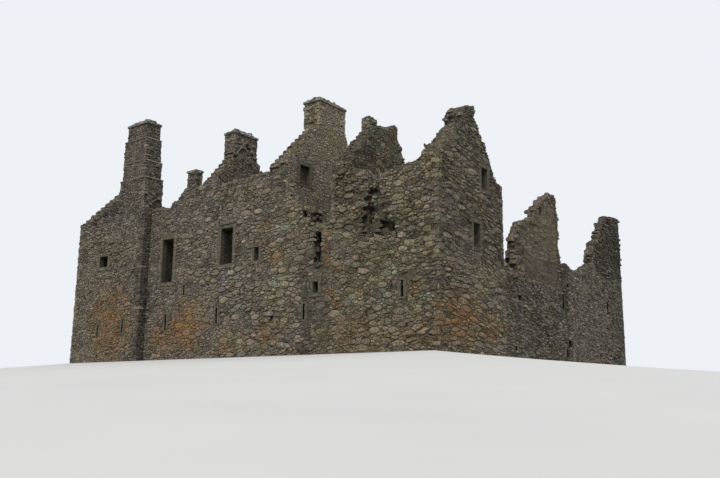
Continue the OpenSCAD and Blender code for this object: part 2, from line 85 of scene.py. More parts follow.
def linear(*colour: int) -> tuple[float, ...]:
    """Turns a colour as the eye names it into the linear colour a shader takes.

    Args:
        colour: Red, green and blue, 0 to 255.

    Returns:
        Linear red, green, blue and an alpha of 1.
    """
    shares = (value / 255.0 for value in colour)
    return (*(s / 12.92 if s <= 0.04045 else ((s + 0.055) / 1.055) ** 2.4 for s in shares), 1.0)


class Look(Enum):
    """Named finishes of the keep's surfaces."""

    RUBBLE = "rubble"
    CORE = "core"
    DRESSED = "dressed"
    SLAB = "slab"
    PLASTER = "plaster"
    # near-black stone that paints the shadow inside slits, hollows and a beam socket
    DAMP = "damp"
    LEDGE = "ledge"
    # dark brown stone that paints the shade on the sides and heads of window reveals
    REVEAL = "reveal"
    VAULT = "vault"


class NodeKit:
    """Short calls that build the nodes of a material or of the sky."""

    def __init__(self, owner: bpy.types.Material | bpy.types.World) -> None:
        """Empties the owner's node tree.

        Args:
            owner: The material or the world.
        """
        owner.use_nodes = True
        self.owner, self.tree = owner, owner.node_tree
        self.tree.nodes.clear()
        self.coords = self.add("TexCoord").outputs["Object"]

    def add(self, kind: str, inputs: dict[str | int, object] | None = None, **settings: str) -> bpy.types.Node:
        """Adds a node.

        Args:
            kind: Its type.
            inputs: A socket to link or a value to set for each input, by name or number.
            settings: The node's own settings.

        Returns:
            The node.
        """
        node = self.tree.nodes.new(f"ShaderNode{kind}")
        for name, value in settings.items():
            setattr(node, name, value)
        for name, value in (inputs or {}).items():
            if isinstance(value, Socket):
                self.tree.links.new(value, node.inputs[name])
            else:
                node.inputs[name].default_value = value
        return node

    def stretched(self, scale: tuple[float, float, float]) -> Socket:
        """Object coordinates, stretched along each axis."""
        return self.add("Mapping", {"Scale": scale, "Vector": self.coords}).outputs["Vector"]

    def bent(self, scale: tuple[float, float, float], bend: float = 0.35) -> Socket:
        """Object coordinates, stretched and pushed about, so that a cell pattern on them has no straight rows.

        Args:
            scale: Stretch along each axis.
            bend: How far the points are pushed, in cells.

        Returns:
            The pushed vector.
        """
        noise = self.add("TexNoise", {"Scale": 3.0, "Vector": self.coords}).outputs["Color"]
        inputs = {0: noise, 1: (4 * bend,) * 3, 2: self.stretched(scale)}
        return self.add("VectorMath", inputs, operation="MULTIPLY_ADD").outputs["Vector"]

    def noise(self, scale: float, detail: float = 4.0, rough: float = 0.6, vector: Socket | None = None) -> Socket:
        """Noise over the object.

        Args:
            scale: Features per metre.
            detail: Octaves.
            rough: Weight of the finer octaves.
            vector: Coordinates to use in place of the object's own.

        Returns:
            The noise value.
        """
        inputs = {"Scale": scale, "Detail": detail, "Roughness": rough, "Vector": vector or self.coords}
        return self.add("TexNoise", inputs).outputs["Fac"]

    def cells(self, feature: str, vector: Socket) -> bpy.types.NodeOutputs:
        """Voronoi cells.

        Args:
            feature: The Voronoi feature.
            vector: The coordinates, one cell a unit.

        Returns:
            The cells' outputs.
        """
        return self.add("TexVoronoi", {"Scale": 1.0, "Vector": vector}, feature=feature).outputs

    def spread(self, value: Socket, low: float, high: float, to_low: float = 0.0, to_high: float = 1.0) -> Socket:
        """Maps a range onto another, clamped and smooth.

        Args:
            value: The number to map.
            low: Start of its range.
            high: End of its range.
            to_low: Result at the start.
            to_high: Result at the end.

        Returns:
            The mapped number.
        """
        inputs = {"Value": value, "From Min": low, "From Max": high, "To Min": to_low, "To Max": to_high}
        return self.add("MapRange", inputs, interpolation_type="SMOOTHSTEP").outputs["Result"]

    def math(self, kind: str, first: Socket, second: Socket | float = 0.0) -> Socket:
        """One arithmetic step.

        Args:
            kind: The operation.
            first: Its first number.
            second: Its second number.

        Returns:
            The result.
        """
        return self.add("Math", {0: first, 1: second}, operation=kind).outputs[0]

    def ramp(self, value: Socket, colours: tuple) -> Socket:
        """Even steps through a row of colours.

        Args:
            value: The number that picks the colour.
            colours: Colours, 0 to 255.

        Returns:
            The colour.
        """
        node = self.add("ValToRGB", {"Fac": value})
        steps = node.color_ramp.elements
        while len(steps) < len(colours):
            steps.new(0.5)
        for place, colour in enumerate(colours):
            steps[place].position = place / (len(colours) - 1)
            steps[place].color = linear(*colour)
        return node.outputs["Color"]

    def mix(self, first: Socket | tuple, second: Socket | tuple, share: Socket) -> Socket:
        """Mixes two colours.

        Args:
            first: The colour below.
            second: The colour above.
            share: How much of the second shows.

        Returns:
            The mixed colour.
        """
        return self.add("Mix", {0: share, 6: first, 7: second}, data_type="RGBA").outputs[2]

    def shade(self, colour: Socket, value: Socket, *spans: float) -> Socket:
        """Multiplies a colour by a number.

        Args:
            colour: The colour.
            value: The number.
            spans: The number's range and what it is mapped onto, where it is mapped first.

        Returns:
            The product.
        """
        scale = self.spread(value, *spans) if spans else value
        return self.add("VectorMath", {0: colour, "Scale": scale}, operation="SCALE").outputs["Vector"]

    def facing(self, axis: str, *spans: float) -> Socket:
        """How far the surface faces along an axis.

        Args:
            axis: The axis.
            spans: What the range from half turned away to fully facing is mapped onto.

        Returns:
            The mapped number.
        """
        parts = self.add("SeparateXYZ", {0: self.add("NewGeometry").outputs["Normal"]})
        return self.spread(parts.outputs[axis], 0.3, 0.9, *spans)

    def finish(self, colour: Socket, roughness: float, relief: Socket, strength: float,
               depth: float) -> bpy.types.Material:
        """Closes the material with its shader.

        Args:
            colour: The base colour.
            roughness: The shader's roughness.
            relief: Height of the fine relief.
            strength: Strength of the relief.
            depth: Depth of the relief in metres.

        Returns:
            The material.
        """
        bump = self.add("Bump", {"Strength": strength, "Distance": depth, "Height": relief})
        shader = self.add("BsdfPrincipled", {"Base Color": colour, "Roughness": roughness,
                                             "Specular IOR Level": 0.25, "Normal": bump.outputs["Normal"]})
        self.add("OutputMaterial", {"Surface": shader.outputs["BSDF"]})
        return self.owner


@dataclass(frozen=True)
class StoneFinish:
    """Weathered field stones, each with its own tone."""

    name: str
    cool: tuple
    warm: tuple
    rust: tuple = ((134, 94, 70), (150, 100, 62), (142, 110, 64), (126, 106, 70))
    moss: tuple = (60, 63, 42)
    pale: tuple = (196, 192, 176)
    moss_share: float = 0.4
    light: float = 1.13
    roughness: float = 0.92

    def make(self) -> bpy.types.Material:
        """Builds the material.

        Returns:
            The material, which reads each stone's tint: its tone, shade, warmth and lichen.
        """
        kit = NodeKit(bpy.data.materials.new(self.name))
        tint = kit.add("Attribute", attribute_name="tint").outputs
        tone, shade, warm = kit.add("SeparateColor", {0: tint["Color"]}).outputs
        broad = kit.spread(kit.noise(0.9, 3.0), *BROAD, -0.3, 0.3)
        base = kit.mix(kit.ramp(tone, self.cool), kit.ramp(tone, self.warm), kit.math("ADD", warm, broad))
        base = kit.shade(base, shade, 0.0, 1.0, 0.5 * self.light, 1.5 * self.light)
        chips = kit.cells("DISTANCE_TO_EDGE", kit.bent((8.0, 8.0, 12.0)))["Distance"]
        rough = kit.spread(kit.noise(2.2, 3.0), 0.5, 0.62)
        seams = kit.math("MULTIPLY", kit.spread(chips, 0.02, 0.11, 1.0, 0.0), rough)
        grit, grain = kit.noise(11.0, 5.0, 0.75), kit.noise(40.0, 3.0, 0.7)
        base = kit.shade(base, seams, 0.0, 1.0, 1.0, 0.6)
        base = kit.shade(kit.shade(base, grit, *FINE, 0.5, 1.52), grain, 0.3, 0.7, 0.78, 1.22)
        crust = kit.math("MULTIPLY", kit.spread(kit.noise(1.9, 6.0, 0.72), 0.33, 0.56), tint["Alpha"])
        lichen = kit.shade(kit.ramp(kit.noise(1.1), self.rust), grit, *FINE, 0.6, 1.35)
        base = kit.mix(base, lichen, kit.math("MULTIPLY", crust, 0.95))
        base = kit.mix(base, linear(*self.pale), kit.spread(kit.noise(17.0, 3.0), 0.63, 0.68, 0.0, 0.7))
        damp = kit.spread(kit.noise(2.5), *BROAD, 0.35, 1.0)
        damp = kit.math("MULTIPLY", kit.facing("Z", 0.0, self.moss_share), damp)
        base = kit.mix(base, linear(*self.moss), damp)
        relief = kit.math("ADD", grit, kit.math("MULTIPLY", grain, 0.3))
        relief = kit.math("SUBTRACT", relief, kit.math("MULTIPLY", seams, 0.4))
        return kit.finish(base, self.roughness, relief, 0.9, 0.07)


@dataclass(frozen=True)
class CoreFinish:
    """Lime mortar with small chips between the stones."""

    name: str
    mortar: tuple = ((88, 81, 68), (112, 104, 88), (72, 66, 54), (124, 116, 100), (94, 88, 72))
    moss: tuple = (58, 58, 40)
    chips: tuple = (10.0, 10.0, 15.0)

    def make(self) -> bpy.types.Material:
        """Builds the material.

        Returns:
            The material.
        """
        kit = NodeKit(bpy.data.materials.new(self.name))
        where = kit.bent(self.chips)
        tone = kit.add("SeparateColor", {0: kit.cells("F1", where)["Color"]}).outputs[0]
        joint = kit.spread(kit.cells("DISTANCE_TO_EDGE", where)["Distance"], 0.02, 0.15, 0.35, 1.0)
        fine = kit.noise(20.0, 5.0, 0.72)
        base = kit.shade(kit.shade(kit.ramp(tone, self.mortar), joint), fine, *FINE, 0.5, 1.5)
        base = kit.shade(base, kit.noise(1.3), *BROAD, 0.8, 1.15)
        base = kit.mix(base, linear(*self.moss), kit.facing("Z", 0.0, 0.6))
        return kit.finish(base, 0.95, kit.math("ADD", joint, kit.math("MULTIPLY", fine, 0.6)), 0.9, 0.05)


@dataclass(frozen=True)
class PlainFinish:
    """Dressed blocks, slabs or plaster: one row of tones with broad and fine variation."""

    name: str
    tones: tuple
    broad: float = 1.6
    fine: float = 14.0
    contrast: float = 0.4
    relief: float = 0.02
    moss_share: float = 0.4
    moss: tuple = (66, 68, 50)
    beds: float = 0.0
    streak: float = 0.12
    # painted light: how much lighter the sides facing +X are; a finish with it is also darkened below 10 m as
    # painted shade
    lit: float = 0.0

    def _bedded(self, kit: NodeKit, base: Socket) -> Socket:
        """Draws flat beds and single stones that show through the plaster.

        Args:
            kit: The material's nodes.
            base: The colour so far.

        Returns:
            The new colour.
        """
        bed = kit.noise(1.0, 3.0, 0.6, kit.stretched((0.5, 0.5, 3.6)))
        line = kit.math("ABSOLUTE", kit.math("SUBTRACT", bed, 0.5))
        line = kit.math("ADD", kit.spread(line, 0.0, 0.045), kit.spread(kit.noise(0.8), 0.4, 0.6))
        base = kit.shade(base, line, 0.0, 1.0, 1.0 - self.beds, 1.0)
        base = kit.shade(base, bed, *BROAD, 0.86, 1.14)
        stones = kit.cells("DISTANCE_TO_EDGE", kit.bent((2.4, 2.4, 7.5), 0.4))["Distance"]
        return kit.shade(base, stones, 0.01, 0.09, 1.0 - 0.7 * self.beds, 1.0)

    def make(self) -> bpy.types.Material:
        """Builds the material.

        Returns:
            The material.
        """
        kit = NodeKit(bpy.data.materials.new(self.name))
        fine = kit.noise(self.fine, 5.0, 0.75)
        streak = kit.noise(1.0, vector=kit.stretched((4.0, 4.0, 0.6)))
        base = kit.ramp(kit.spread(kit.noise(self.broad, 5.0, 0.65), 0.3, 0.7), self.tones)
        base = kit.shade(base, fine, *FINE, 1.0 - self.contrast, 1.0 + self.contrast)
        base = kit.shade(base, streak, 0.35, 0.6, 1.0 - self.streak, 1.0 + self.streak / 2)
        if self.beds:
            base = self._bedded(kit, base)
        # painted highlight on the sides facing +X, and painted shade that darkens everything below 10 m, fading out
        # up to 10.6 m
        if self.lit:
            height = kit.add("SeparateXYZ", {0: kit.coords}).outputs["Z"]
            base = kit.shade(kit.shade(base, kit.facing("X", 1.0, 1.0 + self.lit)), height, 10.0, 10.6, 0.6, 1.0)
        base = kit.mix(base, linear(*self.moss), kit.facing("Z", 0.0, self.moss_share))
        return kit.finish(base, 0.93, fine, 0.8, self.relief)


COOL = ((106, 96, 103), (105, 99, 94), (112, 103, 97), (108, 101, 94), (118, 111, 102), (108, 98, 89),
        (95, 90, 84), (101, 100, 91), (119, 122, 108))
WARM = ((108, 98, 95), (108, 101, 85), (117, 104, 86), (112, 103, 84), (124, 115, 94), (112, 98, 78),
        (97, 90, 72), (104, 104, 84), (119, 122, 101))
FINISHES = {
    Look.RUBBLE: StoneFinish("field_stone", COOL, WARM),
    Look.CORE: CoreFinish("mortar_core"),
    Look.DRESSED: PlainFinish("dressed_block", ((88, 83, 70), (102, 96, 82), (78, 73, 62)), 3.0, 14.0, 0.6, 0.05),
    Look.SLAB: StoneFinish("weathered_slab", ((108, 107, 104), (134, 133, 128), (96, 95, 92)),
                           ((108, 106, 98), (134, 131, 121), (96, 93, 86)), moss_share=0.1),
    Look.LEDGE: PlainFinish("ledge_stone", ((92, 88, 79), (108, 104, 94), (84, 80, 71)), 2.5, 12.0, 0.5, 0.03,
                            0.15, lit=1.0),
    # dark brown finish: painted shade in window reveals, also used for the roof fillets
    Look.REVEAL: PlainFinish("reveal_painted_shade", ((68, 62, 52), (84, 78, 66), (58, 53, 45)), 2.0, 12.0, 0.5, 0.03),
    Look.PLASTER: PlainFinish("lime_face", ((96, 86, 74), (112, 98, 82), (86, 79, 70), (106, 94, 78)), 1.0,
                              12.0, 0.4, 0.05, 0.3, beds=0.55, streak=0.0),
    Look.VAULT: PlainFinish("vault_stone", ((74, 70, 60), (92, 86, 74), (82, 78, 66)), 2.2, 12.0, 0.45, 0.03),
    # near-black finish: painted shadow inside slits, hollows and the beam socket
    Look.DAMP: PlainFinish("painted_shadow_lining", ((16, 15, 13), (24, 22, 19), (19, 18, 15)), 3.0),
}


class Shelf:
    """Keeps one material for each look."""

    def __init__(self) -> None:
        """Starts with no material made."""
        self.made: dict[Look, bpy.types.Material] = {}

    def take(self, look: Look) -> bpy.types.Material:
        """Makes a look's material once and hands it out.

        Args:
            look: The look.

        Returns:
            Its material.
        """
        if look not in self.made:
            self.made[look] = FINISHES[look].make()
        return self.made[look]


class StoneShape:
    """One stone's mesh, kept as the share that each corner of its bed has in each of its points."""

    def __init__(self, rings: tuple[tuple[float, float], ...], top: float, sides: int = 8) -> None:
        """Shapes the stone from a cornered disc that is drawn up in rings.

        Args:
            rings: Width and height of each ring above the bed.
            top: Height of the middle of its face.
            sides: Number of its corners.
        """
        mesh = bmesh.new()
        bmesh.ops.create_circle(mesh, cap_ends=True, segments=sides, radius=1.0)
        cap, wide = mesh.faces[:], 1.0
        for number, (width, height) in enumerate(rings):
            grown = bmesh.ops.extrude_face_region(mesh, geom=cap)["geom"]
            if number:
                bmesh.ops.delete(mesh, geom=cap, context="FACES_ONLY")
            cap = [item for item in grown if isinstance(item, bmesh.types.BMFace)]
            verts = [item for item in grown if isinstance(item, bmesh.types.BMVert)]
            bmesh.ops.scale(mesh, verts=verts, vec=(width / wide, width / wide, 1.0))
            bmesh.ops.translate(mesh, verts=verts, vec=(0, 0, height - verts[0].co.z))
            wide = width
        for vert in bmesh.ops.poke(mesh, faces=cap)["verts"]:
            vert.co.z = top
        self._read(mesh)
        angles = np.arctan2(self.points[:, 1], self.points[:, 0])
        spot = np.round((angles - angles[0]) / (2 * math.pi / sides)).astype(int) % sides
        far = np.hypot(self.points[:, 0], self.points[:, 1])
        self.shares = np.full((len(self.points), sides), 0.0)
        self.shares[np.arange(len(spot)), spot] = far
        self.shares += (1 - far)[:, None] / sides

    def _read(self, mesh: bmesh.types.BMesh) -> None:
        """Reads the finished mesh and frees it.

        Args:
            mesh: The mesh.
        """
        bmesh.ops.recalc_face_normals(mesh, faces=mesh.faces)
        bmesh.ops.triangulate(mesh, faces=mesh.faces)
        mesh.verts.index_update()
        self.points = np.array([v.co[:] for v in mesh.verts])
        self.faces = np.array([[v.index for v in f.verts] for f in mesh.faces])
        self.heights = self.points[:, 2]
        self.bed = self.heights < 1e-6
        mesh.free()


class BlockShape(StoneShape):
    """A squared block with worn arrises, laid between four corners."""

    def __init__(self, wear: float = 0.1) -> None:
        """Shapes the block from a cube with bevelled edges.

        Args:
            wear: Width of the worn edge against half the block.
        """
        mesh = bmesh.new()
        bmesh.ops.create_cube(mesh, size=2.0)
        bmesh.ops.bevel(mesh, geom=mesh.edges[:], offset=wear, affect="EDGES", segments=1, profile=0.5, material=-1)
        bmesh.ops.translate(mesh, verts=mesh.verts, vec=(0, 0, 1))
        bmesh.ops.scale(mesh, verts=mesh.verts, vec=(1, 1, 0.5))
        self._read(mesh)
        a, b = self.points[:, 0], self.points[:, 1]
        self.shares = np.stack([(1 - a) * (1 - b), (1 + a) * (1 - b), (1 + a) * (1 + b), (1 - a) * (1 + b)], 1) / 4


@dataclass
class Stone:
    """One laid stone: the corners of its bed, the way it faces and how far it stands out."""

    corners: np.ndarray
    out: np.ndarray
    rise: float
    sink: float
    tint: tuple
    wobble: float = 0.1
    slant: float = 0.2
    rough: float = 0.15


class Pile:
    """Stones that are laid together and become one mesh."""

    # How much the shade strays within a stone, and how low a point of its face may sink against its rise
    MOTTLE = 0.09
    LEAST = 0.15

    def __init__(self, seed: int) -> None:
        """Starts an empty pile.

        Args:
            seed: Seed of the stones' own irregularity.
        """
        self.stones: dict[StoneShape, list[Stone]] = {}
        self.random = np.random.default_rng(seed)

    def add(self, shape: StoneShape, stone: Stone) -> None:
        """Adds one stone of a shape."""
        self.stones.setdefault(shape, []).append(stone)

    def _shaped(self, shape: StoneShape, stones: list[Stone]) -> tuple[np.ndarray, np.ndarray, np.ndarray]:
        """Lays one shape many times.

        Args:
            shape: The stone's shape.
            stones: Where it goes.

        Returns:
            Points, triangles and the tint of each point.
        """
        number, size = len(stones), len(shape.points)
        corners = np.array([s.corners for s in stones])
        middle = corners.mean(1, keepdims=True)
        out = np.array([s.out for s in stones])[:, None, :]
        rise, sink, wobble, slant, rough = (np.array([getattr(s, name) for s in stones])[:, None]
                                            for name in ("rise", "sink", "wobble", "slant", "rough"))
        tint = np.repeat(np.array([s.tint for s in stones])[:, None], size, axis=1)
        tint[..., 1] = np.clip(tint[..., 1] + self.random.normal(0, self.MOTTLE, (number, size)), 0, 1)
        count = corners.shape[1]
        stray = self.random.uniform(-1, 1, (number, size, count)) * wobble[..., None] / math.sqrt(count / 2)
        shares = shape.shares[None] + np.where(shape.bed[None, :, None], 0.0, stray)
        flat = middle + shares @ (corners - middle)
        lean = self.random.uniform(-1, 1, (number, 2)) * slant
        lift = 1 + shape.points[:, 0] * lean[:, :1] + shape.points[:, 1] * lean[:, 1:]
        lift = np.maximum(lift + self.random.uniform(-1, 1, (number, size)) * rough, self.LEAST)
        height = np.where(shape.bed[None, :], -sink, shape.heights[None] * lift * rise)
        points = flat + out * height[..., None]
        faces = shape.faces[None] + (np.arange(number) * size)[:, None, None]
        return points.reshape(-1, 3), faces.reshape(-1, 3), tint.reshape(-1, 4)

    def build(self, name: str, material: bpy.types.Material, slot: str) -> None:
        """Joins all stones into one piece that rides on the keep.

        Args:
            name: The piece's name.
            material: Its material.
            slot: The record's material slot; not used.
        """
        if not self.stones:
            return
        parts, start = [], 0
        for shape, stones in self.stones.items():
            points, faces, tints = self._shaped(shape, stones)
            parts.append((points, faces + start, tints))
            start += len(points)
        points, faces, tints = (np.concatenate(part) for part in zip(*parts))
        mesh = bpy.data.meshes.new(name)
        mesh.vertices.add(len(points))
        mesh.vertices.foreach_set("co", points.astype(np.float32).ravel())
        mesh.loops.add(len(faces) * 3)
        mesh.loops.foreach_set("vertex_index", faces.astype(np.int32).ravel())
        mesh.polygons.add(len(faces))
        mesh.polygons.foreach_set("loop_start", np.arange(0, len(faces) * 3, 3, dtype=np.int32))
        mesh.polygons.foreach_set("use_smooth", np.zeros(len(faces), dtype=bool))
        layer = mesh.attributes.new("tint", "FLOAT_COLOR", "POINT")
        layer.data.foreach_set("color", tints.astype(np.float32).ravel())
        mesh.update(calc_edges=True)
        mesh.validate()
        mesh.materials.append(material)
        piece = bpy.data.objects.new(name, mesh)
        bpy.context.scene.collection.objects.link(piece)
        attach(piece, BODY)
        LOG.info("%s: %d stones, %d triangles", name, sum(map(len, self.stones.values())), len(faces))


class WallFace:
    """A flat face of the walls, with the part of it that shows."""

    # How far outside a triangle a point may lie and still count as in it, in square metres
    EDGE = 1e-6

    def __init__(self, axis: int, sign: int, level: float) -> None:
        """Starts a face.

        Args:
            axis: The axis the face looks along, 0, 1 or 2.
            sign: Which way along it.
            level: Where the face lies on that axis.
        """
        self.axis, self.sign, self.level = axis, sign, level
        self.out, self.along, self.up = np.zeros(3), np.zeros(3), np.zeros(3)
        self.out[axis] = sign
        self.along[1 if axis == 0 else 0] = (sign, -sign, 1.0)[axis]
        self.up[1 if axis == 2 else 2] = 1.0
        self.low = np.zeros(2)
        self.mask = self.firm = np.zeros((0, 0), dtype=bool)

    def flat(self, points: np.ndarray) -> np.ndarray:
        """Turns points of the keep into the face's own two coordinates."""
        return np.stack([points @ self.along, points @ self.up], axis=-1)

    def place(self, flat: np.ndarray, depth: float = 0.0) -> np.ndarray:
        """Turns the face's coordinates into points of the keep.

        Args:
            flat: Coordinates on the face.
            depth: Distance in front of it.

        Returns:
            The points.
        """
        level = self.level * abs(self.out) + depth * self.out
        return flat[..., :1] * self.along + flat[..., 1:2] * self.up + level

    def _fill(self, triangles: np.ndarray) -> np.ndarray:
        """Marks the points of the face's grid that lie in triangles.

        Args:
            triangles: Triangles in the face's coordinates.

        Returns:
            The marks.
        """
        marks = np.zeros_like(self.mask)
        for tri in triangles:
            first = np.maximum(np.floor((tri.min(0) - self.low) / PITCH).astype(int), 0)
            last = np.minimum(np.ceil((tri.max(0) - self.low) / PITCH).astype(int) + 1, self.mask.shape)
            if (last <= first).any():
                continue
            x = self.low[0] + (np.arange(first[0], last[0]) + 0.5)[:, None] * PITCH
            y = self.low[1] + (np.arange(first[1], last[1]) + 0.5)[None, :] * PITCH
            sides = np.stack([(q[0] - p[0]) * (y - p[1]) - (q[1] - p[1]) * (x - p[0])
                              for p, q in zip(tri, np.roll(tri, -1, axis=0))])
            inside = (sides >= -self.EDGE).all(0) | (sides <= self.EDGE).all(0)
            marks[first[0]:last[0], first[1]:last[1]] |= inside
        return marks

    def draw(self, shown: list[np.ndarray], covering: list[np.ndarray]) -> None:
        """Works out which part of the face shows.

        Args:
            shown: Triangles of the face.
            covering: Triangles of other pieces that lie against it.
        """
        own = self.flat(np.array(shown))
        self.low = own.reshape(-1, 2).min(0)
        size = np.ceil((own.reshape(-1, 2).max(0) - self.low) / PITCH - 1e-6).astype(int)
        self.mask = np.zeros(tuple(np.maximum(size, 1)), dtype=bool)
        self.mask = self._fill(own)
        if covering:
            self.mask &= ~self._fill(self.flat(np.array(covering)))
        below, left = (np.cumsum(self.mask, axis=axis) > 0 for axis in (1, 0))
        above = np.cumsum(self.mask[:, ::-1], axis=1)[:, ::-1] > 0
        right = np.cumsum(self.mask[::-1], axis=0)[::-1] > 0
        self.firm = ~self.mask & below & above & left & right

    def size(self) -> np.ndarray:
        """Width and height of the face's grid in metres."""
        return np.array(self.mask.shape) * PITCH

    def area(self) -> float:
        """Square metres of the face that show."""
        return self.mask.sum() * PITCH * PITCH

    def _look(self, grid: np.ndarray, flat: np.ndarray) -> np.ndarray:
        """Reads a grid of marks at points of the face.

        Args:
            grid: The marks.
            flat: Coordinates on the face.

        Returns:
            The marks at the points, and none outside the grid.
        """
        where = np.floor((flat - self.low) / PITCH).astype(int)
        inside = ((where >= 0) & (where < np.array(grid.shape))).all(-1)
        where = np.clip(where, 0, np.array(grid.shape) - 1)
        return inside & grid[where[..., 0], where[..., 1]]

    def free(self, flat: np.ndarray) -> np.ndarray:
        """Tells which points show and aren't kept for dressed or corner stones."""
        return self._look(self.mask, flat)

    def closed(self, flat: np.ndarray) -> np.ndarray:
        """Tells which points no rubble may cover: openings, and what is kept for other stones."""
        closed = self._look(self.firm, flat)
        return closed | (flat[..., 1] < 0.0) if self.axis < 2 else closed

    def _cells(self, first: Point, second: Point) -> tuple[slice, slice]:
        """Finds the grid's cells in a rectangle.

        Args:
            first: One corner of the rectangle.
            second: The opposite corner.

        Returns:
            The cells' rows and columns.
        """
        low, high = (np.maximum(np.round((np.array(corner) - self.low) / PITCH).astype(int), 0)
                     for corner in (np.minimum(first, second), np.maximum(first, second)))
        return slice(low[0], high[0]), slice(low[1], high[1])

    def keep_off(self, first: Point, second: Point) -> None:
        """Keeps a rectangle between two corners free of rubble."""
        cells = self._cells(first, second)
        self.mask[cells], self.firm[cells] = False, True

    def part(self, spans: tuple[tuple[float, ...], ...]) -> "WallFace":
        """Splits rectangles off the face, so that they are laid in another way.

        Args:
            spans: Each rectangle's lowest and highest corner.

        Returns:
            The split part.
        """
        piece, taken = copy(self), np.zeros_like(self.mask)
        for span in spans:
            taken[self._cells(span[:2], span[2:])] = True
        piece.mask, self.mask = self.mask & taken, self.mask & ~taken
        return piece


class RoundFace(WallFace):
    """The rounded corner of the old tower, unrolled."""

    def __init__(self, middle: Point, radius: float, height: float) -> None:
        """Starts the face with all of it showing.

        Args:
            middle: The corner's axis on the ground.
            radius: Its radius.
            height: Its height.
        """
        super().__init__(0, 1, middle[0] + radius)
        self.middle, self.radius = np.array(middle), radius
        self.mask = np.ones((int(radius * math.pi / 2 / PITCH), int(height / PITCH)), dtype=bool)
        self.firm = ~self.mask

    def place(self, flat: np.ndarray, depth: float = 0.0) -> np.ndarray:
        """Rolls the face's coordinates round the corner.

        Args:
            flat: Coordinates on the face.
            depth: Distance in front of it.

        Returns:
            The points.
        """
        turn = flat[..., 0] / self.radius
        self.out = np.array([math.cos(float(turn.mean())), math.sin(float(turn.mean())), 0.0])
        far = self.radius + depth
        return np.stack([self.middle[0] + far * np.cos(turn), self.middle[1] + far * np.sin(turn), flat[..., 1]], -1)


class WallSurvey:
    """Reads the walls' faces from the frame."""

    RUBBLE_SLOTS = ("rubble_stone", "lime_plaster")
    # Planes this far apart, in metres, are one face; a normal this near an axis is square to it
    STEP = 0.004
    SQUARE = 0.9995

    def __init__(self) -> None:
        """Measures every node of the frame."""
        slots = {row["node"]: row["material_slot"] for row in frame["record"]["subparts"]}
        self.faces: list[WallFace] = []
        self.slopes: list[tuple[str, np.ndarray, np.ndarray]] = []
        shown: dict[tuple, list] = {}
        against: dict[tuple, list] = {}
        points_all, faces_all = [], []
        for name, node in sorted(frame["nodes"].items()):
            points, triangles = self._triangles(node)
            faces_all.extend(tuple(int(i) + len(points_all) for i in t) for t in triangles)
            points_all.extend(Vector(p) for p in points)
            corners = points[triangles]
            normals = np.cross(corners[:, 1] - corners[:, 0], corners[:, 2] - corners[:, 0])
            normals /= np.maximum(np.linalg.norm(normals, axis=1), 1e-12)[:, None]
            rubble = slots[name] in self.RUBBLE_SLOTS
            for tri, normal in zip(corners, normals):
                axis = int(np.argmax(np.abs(normal)))
                if abs(normal[axis]) > self.SQUARE:
                    key = (axis, int(np.sign(normal[axis])), round(float(tri[0, axis]) / self.STEP))
                    if rubble and (axis < 2 or normal[2] > 0):
                        shown.setdefault(key, []).append(tri)
                    against.setdefault((axis, -key[1], key[2]), []).append(tri)
                elif (rubble or slots[name] == "slab_stone" and normal[2] > 0.1) and normal[2] > -0.6 and (
                        abs(normal[0]) < 1e-3 or abs(normal[1]) < 1e-3):
                    self.slopes.append((name, tri, normal))
        for key in sorted(shown):
            face = WallFace(key[0], key[1], float(shown[key][0][0, key[0]]))
            face.draw(shown[key], against.get(key, []))
            if face.mask.any():
                self.faces.append(face)
        self.tree = BVHTree.FromPolygons(points_all, faces_all)

    @staticmethod
    def _triangles(node: bpy.types.Object) -> tuple[np.ndarray, np.ndarray]:
        """Reads one node's triangles.

        Args:
            node: The node.

        Returns:
            Its points and triangles.
        """
        mesh = node.data
        mesh.calc_loop_triangles()
        points = np.zeros(len(mesh.vertices) * 3)
        mesh.vertices.foreach_get("co", points)
        triangles = np.zeros(len(mesh.loop_triangles) * 3, dtype=int)
        mesh.loop_triangles.foreach_get("vertices", triangles)
        return points.reshape(-1, 3), triangles.reshape(-1, 3)

    def face(self, axis: int, sign: int, level: float) -> WallFace:
        """Finds a face by where it lies.

        Args:
            axis: The axis it looks along.
            sign: Which way.
            level: Where it lies.

        Returns:
            The face.
        """
        alike = (f for f in self.faces if (f.axis, f.sign) == (axis, sign))
        return min(alike, key=lambda f: abs(f.level - level))

    def limed(self) -> WallFace:
        """The face of the lime-faced wall."""
        return self.face(0, 1, CORNER[0] - SET_BACK)

    def distance(self, point: np.ndarray, way: np.ndarray, reach: float) -> float:
        """Distance from a point to the next wall.

        Args:
            point: The point.
            way: The direction.
            reach: How far to look.

        Returns:
            The distance, or the reach where nothing is met.
        """
        hit = self.tree.ray_cast(Vector(point), Vector(way), reach)
        return hit[3] if hit[0] is not None else reach


@dataclass(frozen=True)
class Zone:
    """A region of the keep whose stones differ, in coordinates from the near corner."""

    low: tuple[float, float, float]
    high: tuple[float, float, float]
    # shift of the stones' shade: their own tone, and in some regions painted shade or painted light
    shade: float = 0.0
    warm: float = 0.0
    tones: Point | None = None
    share: float = 1.0
    deep: float = 1.0

    def holds(self, local: np.ndarray) -> bool:
        """Tells whether a point lies in the region."""
        return all(a <= v <= b for a, v, b in zip(self.low, local, self.high))


@dataclass(frozen=True)
class Patch:
    """A patch of rust-coloured lichen on a wall face, in coordinates from the near corner."""

    axis: int
    level: float
    along: float
    height: float
    half_width: float
    half_height: float
    strength: float

    def share(self, local: np.ndarray) -> float:
        """How strongly the patch colours a point.

        Args:
            local: A point, from the near corner.

        Returns:
            From 0 to 1.
        """
        if abs(local[self.axis] - self.level) > 0.3:
            return 0.0
        far = math.hypot((local[1 - self.axis] - self.along) / self.half_width,
                         (local[2] - self.height) / self.half_height)
        return self.strength * max(0.0, min(1.0, 1.4 - far))


GREEN = (0.84, 0.97)
PURPLE = (0.0, 0.07)
PALE = (0.45, 0.6)
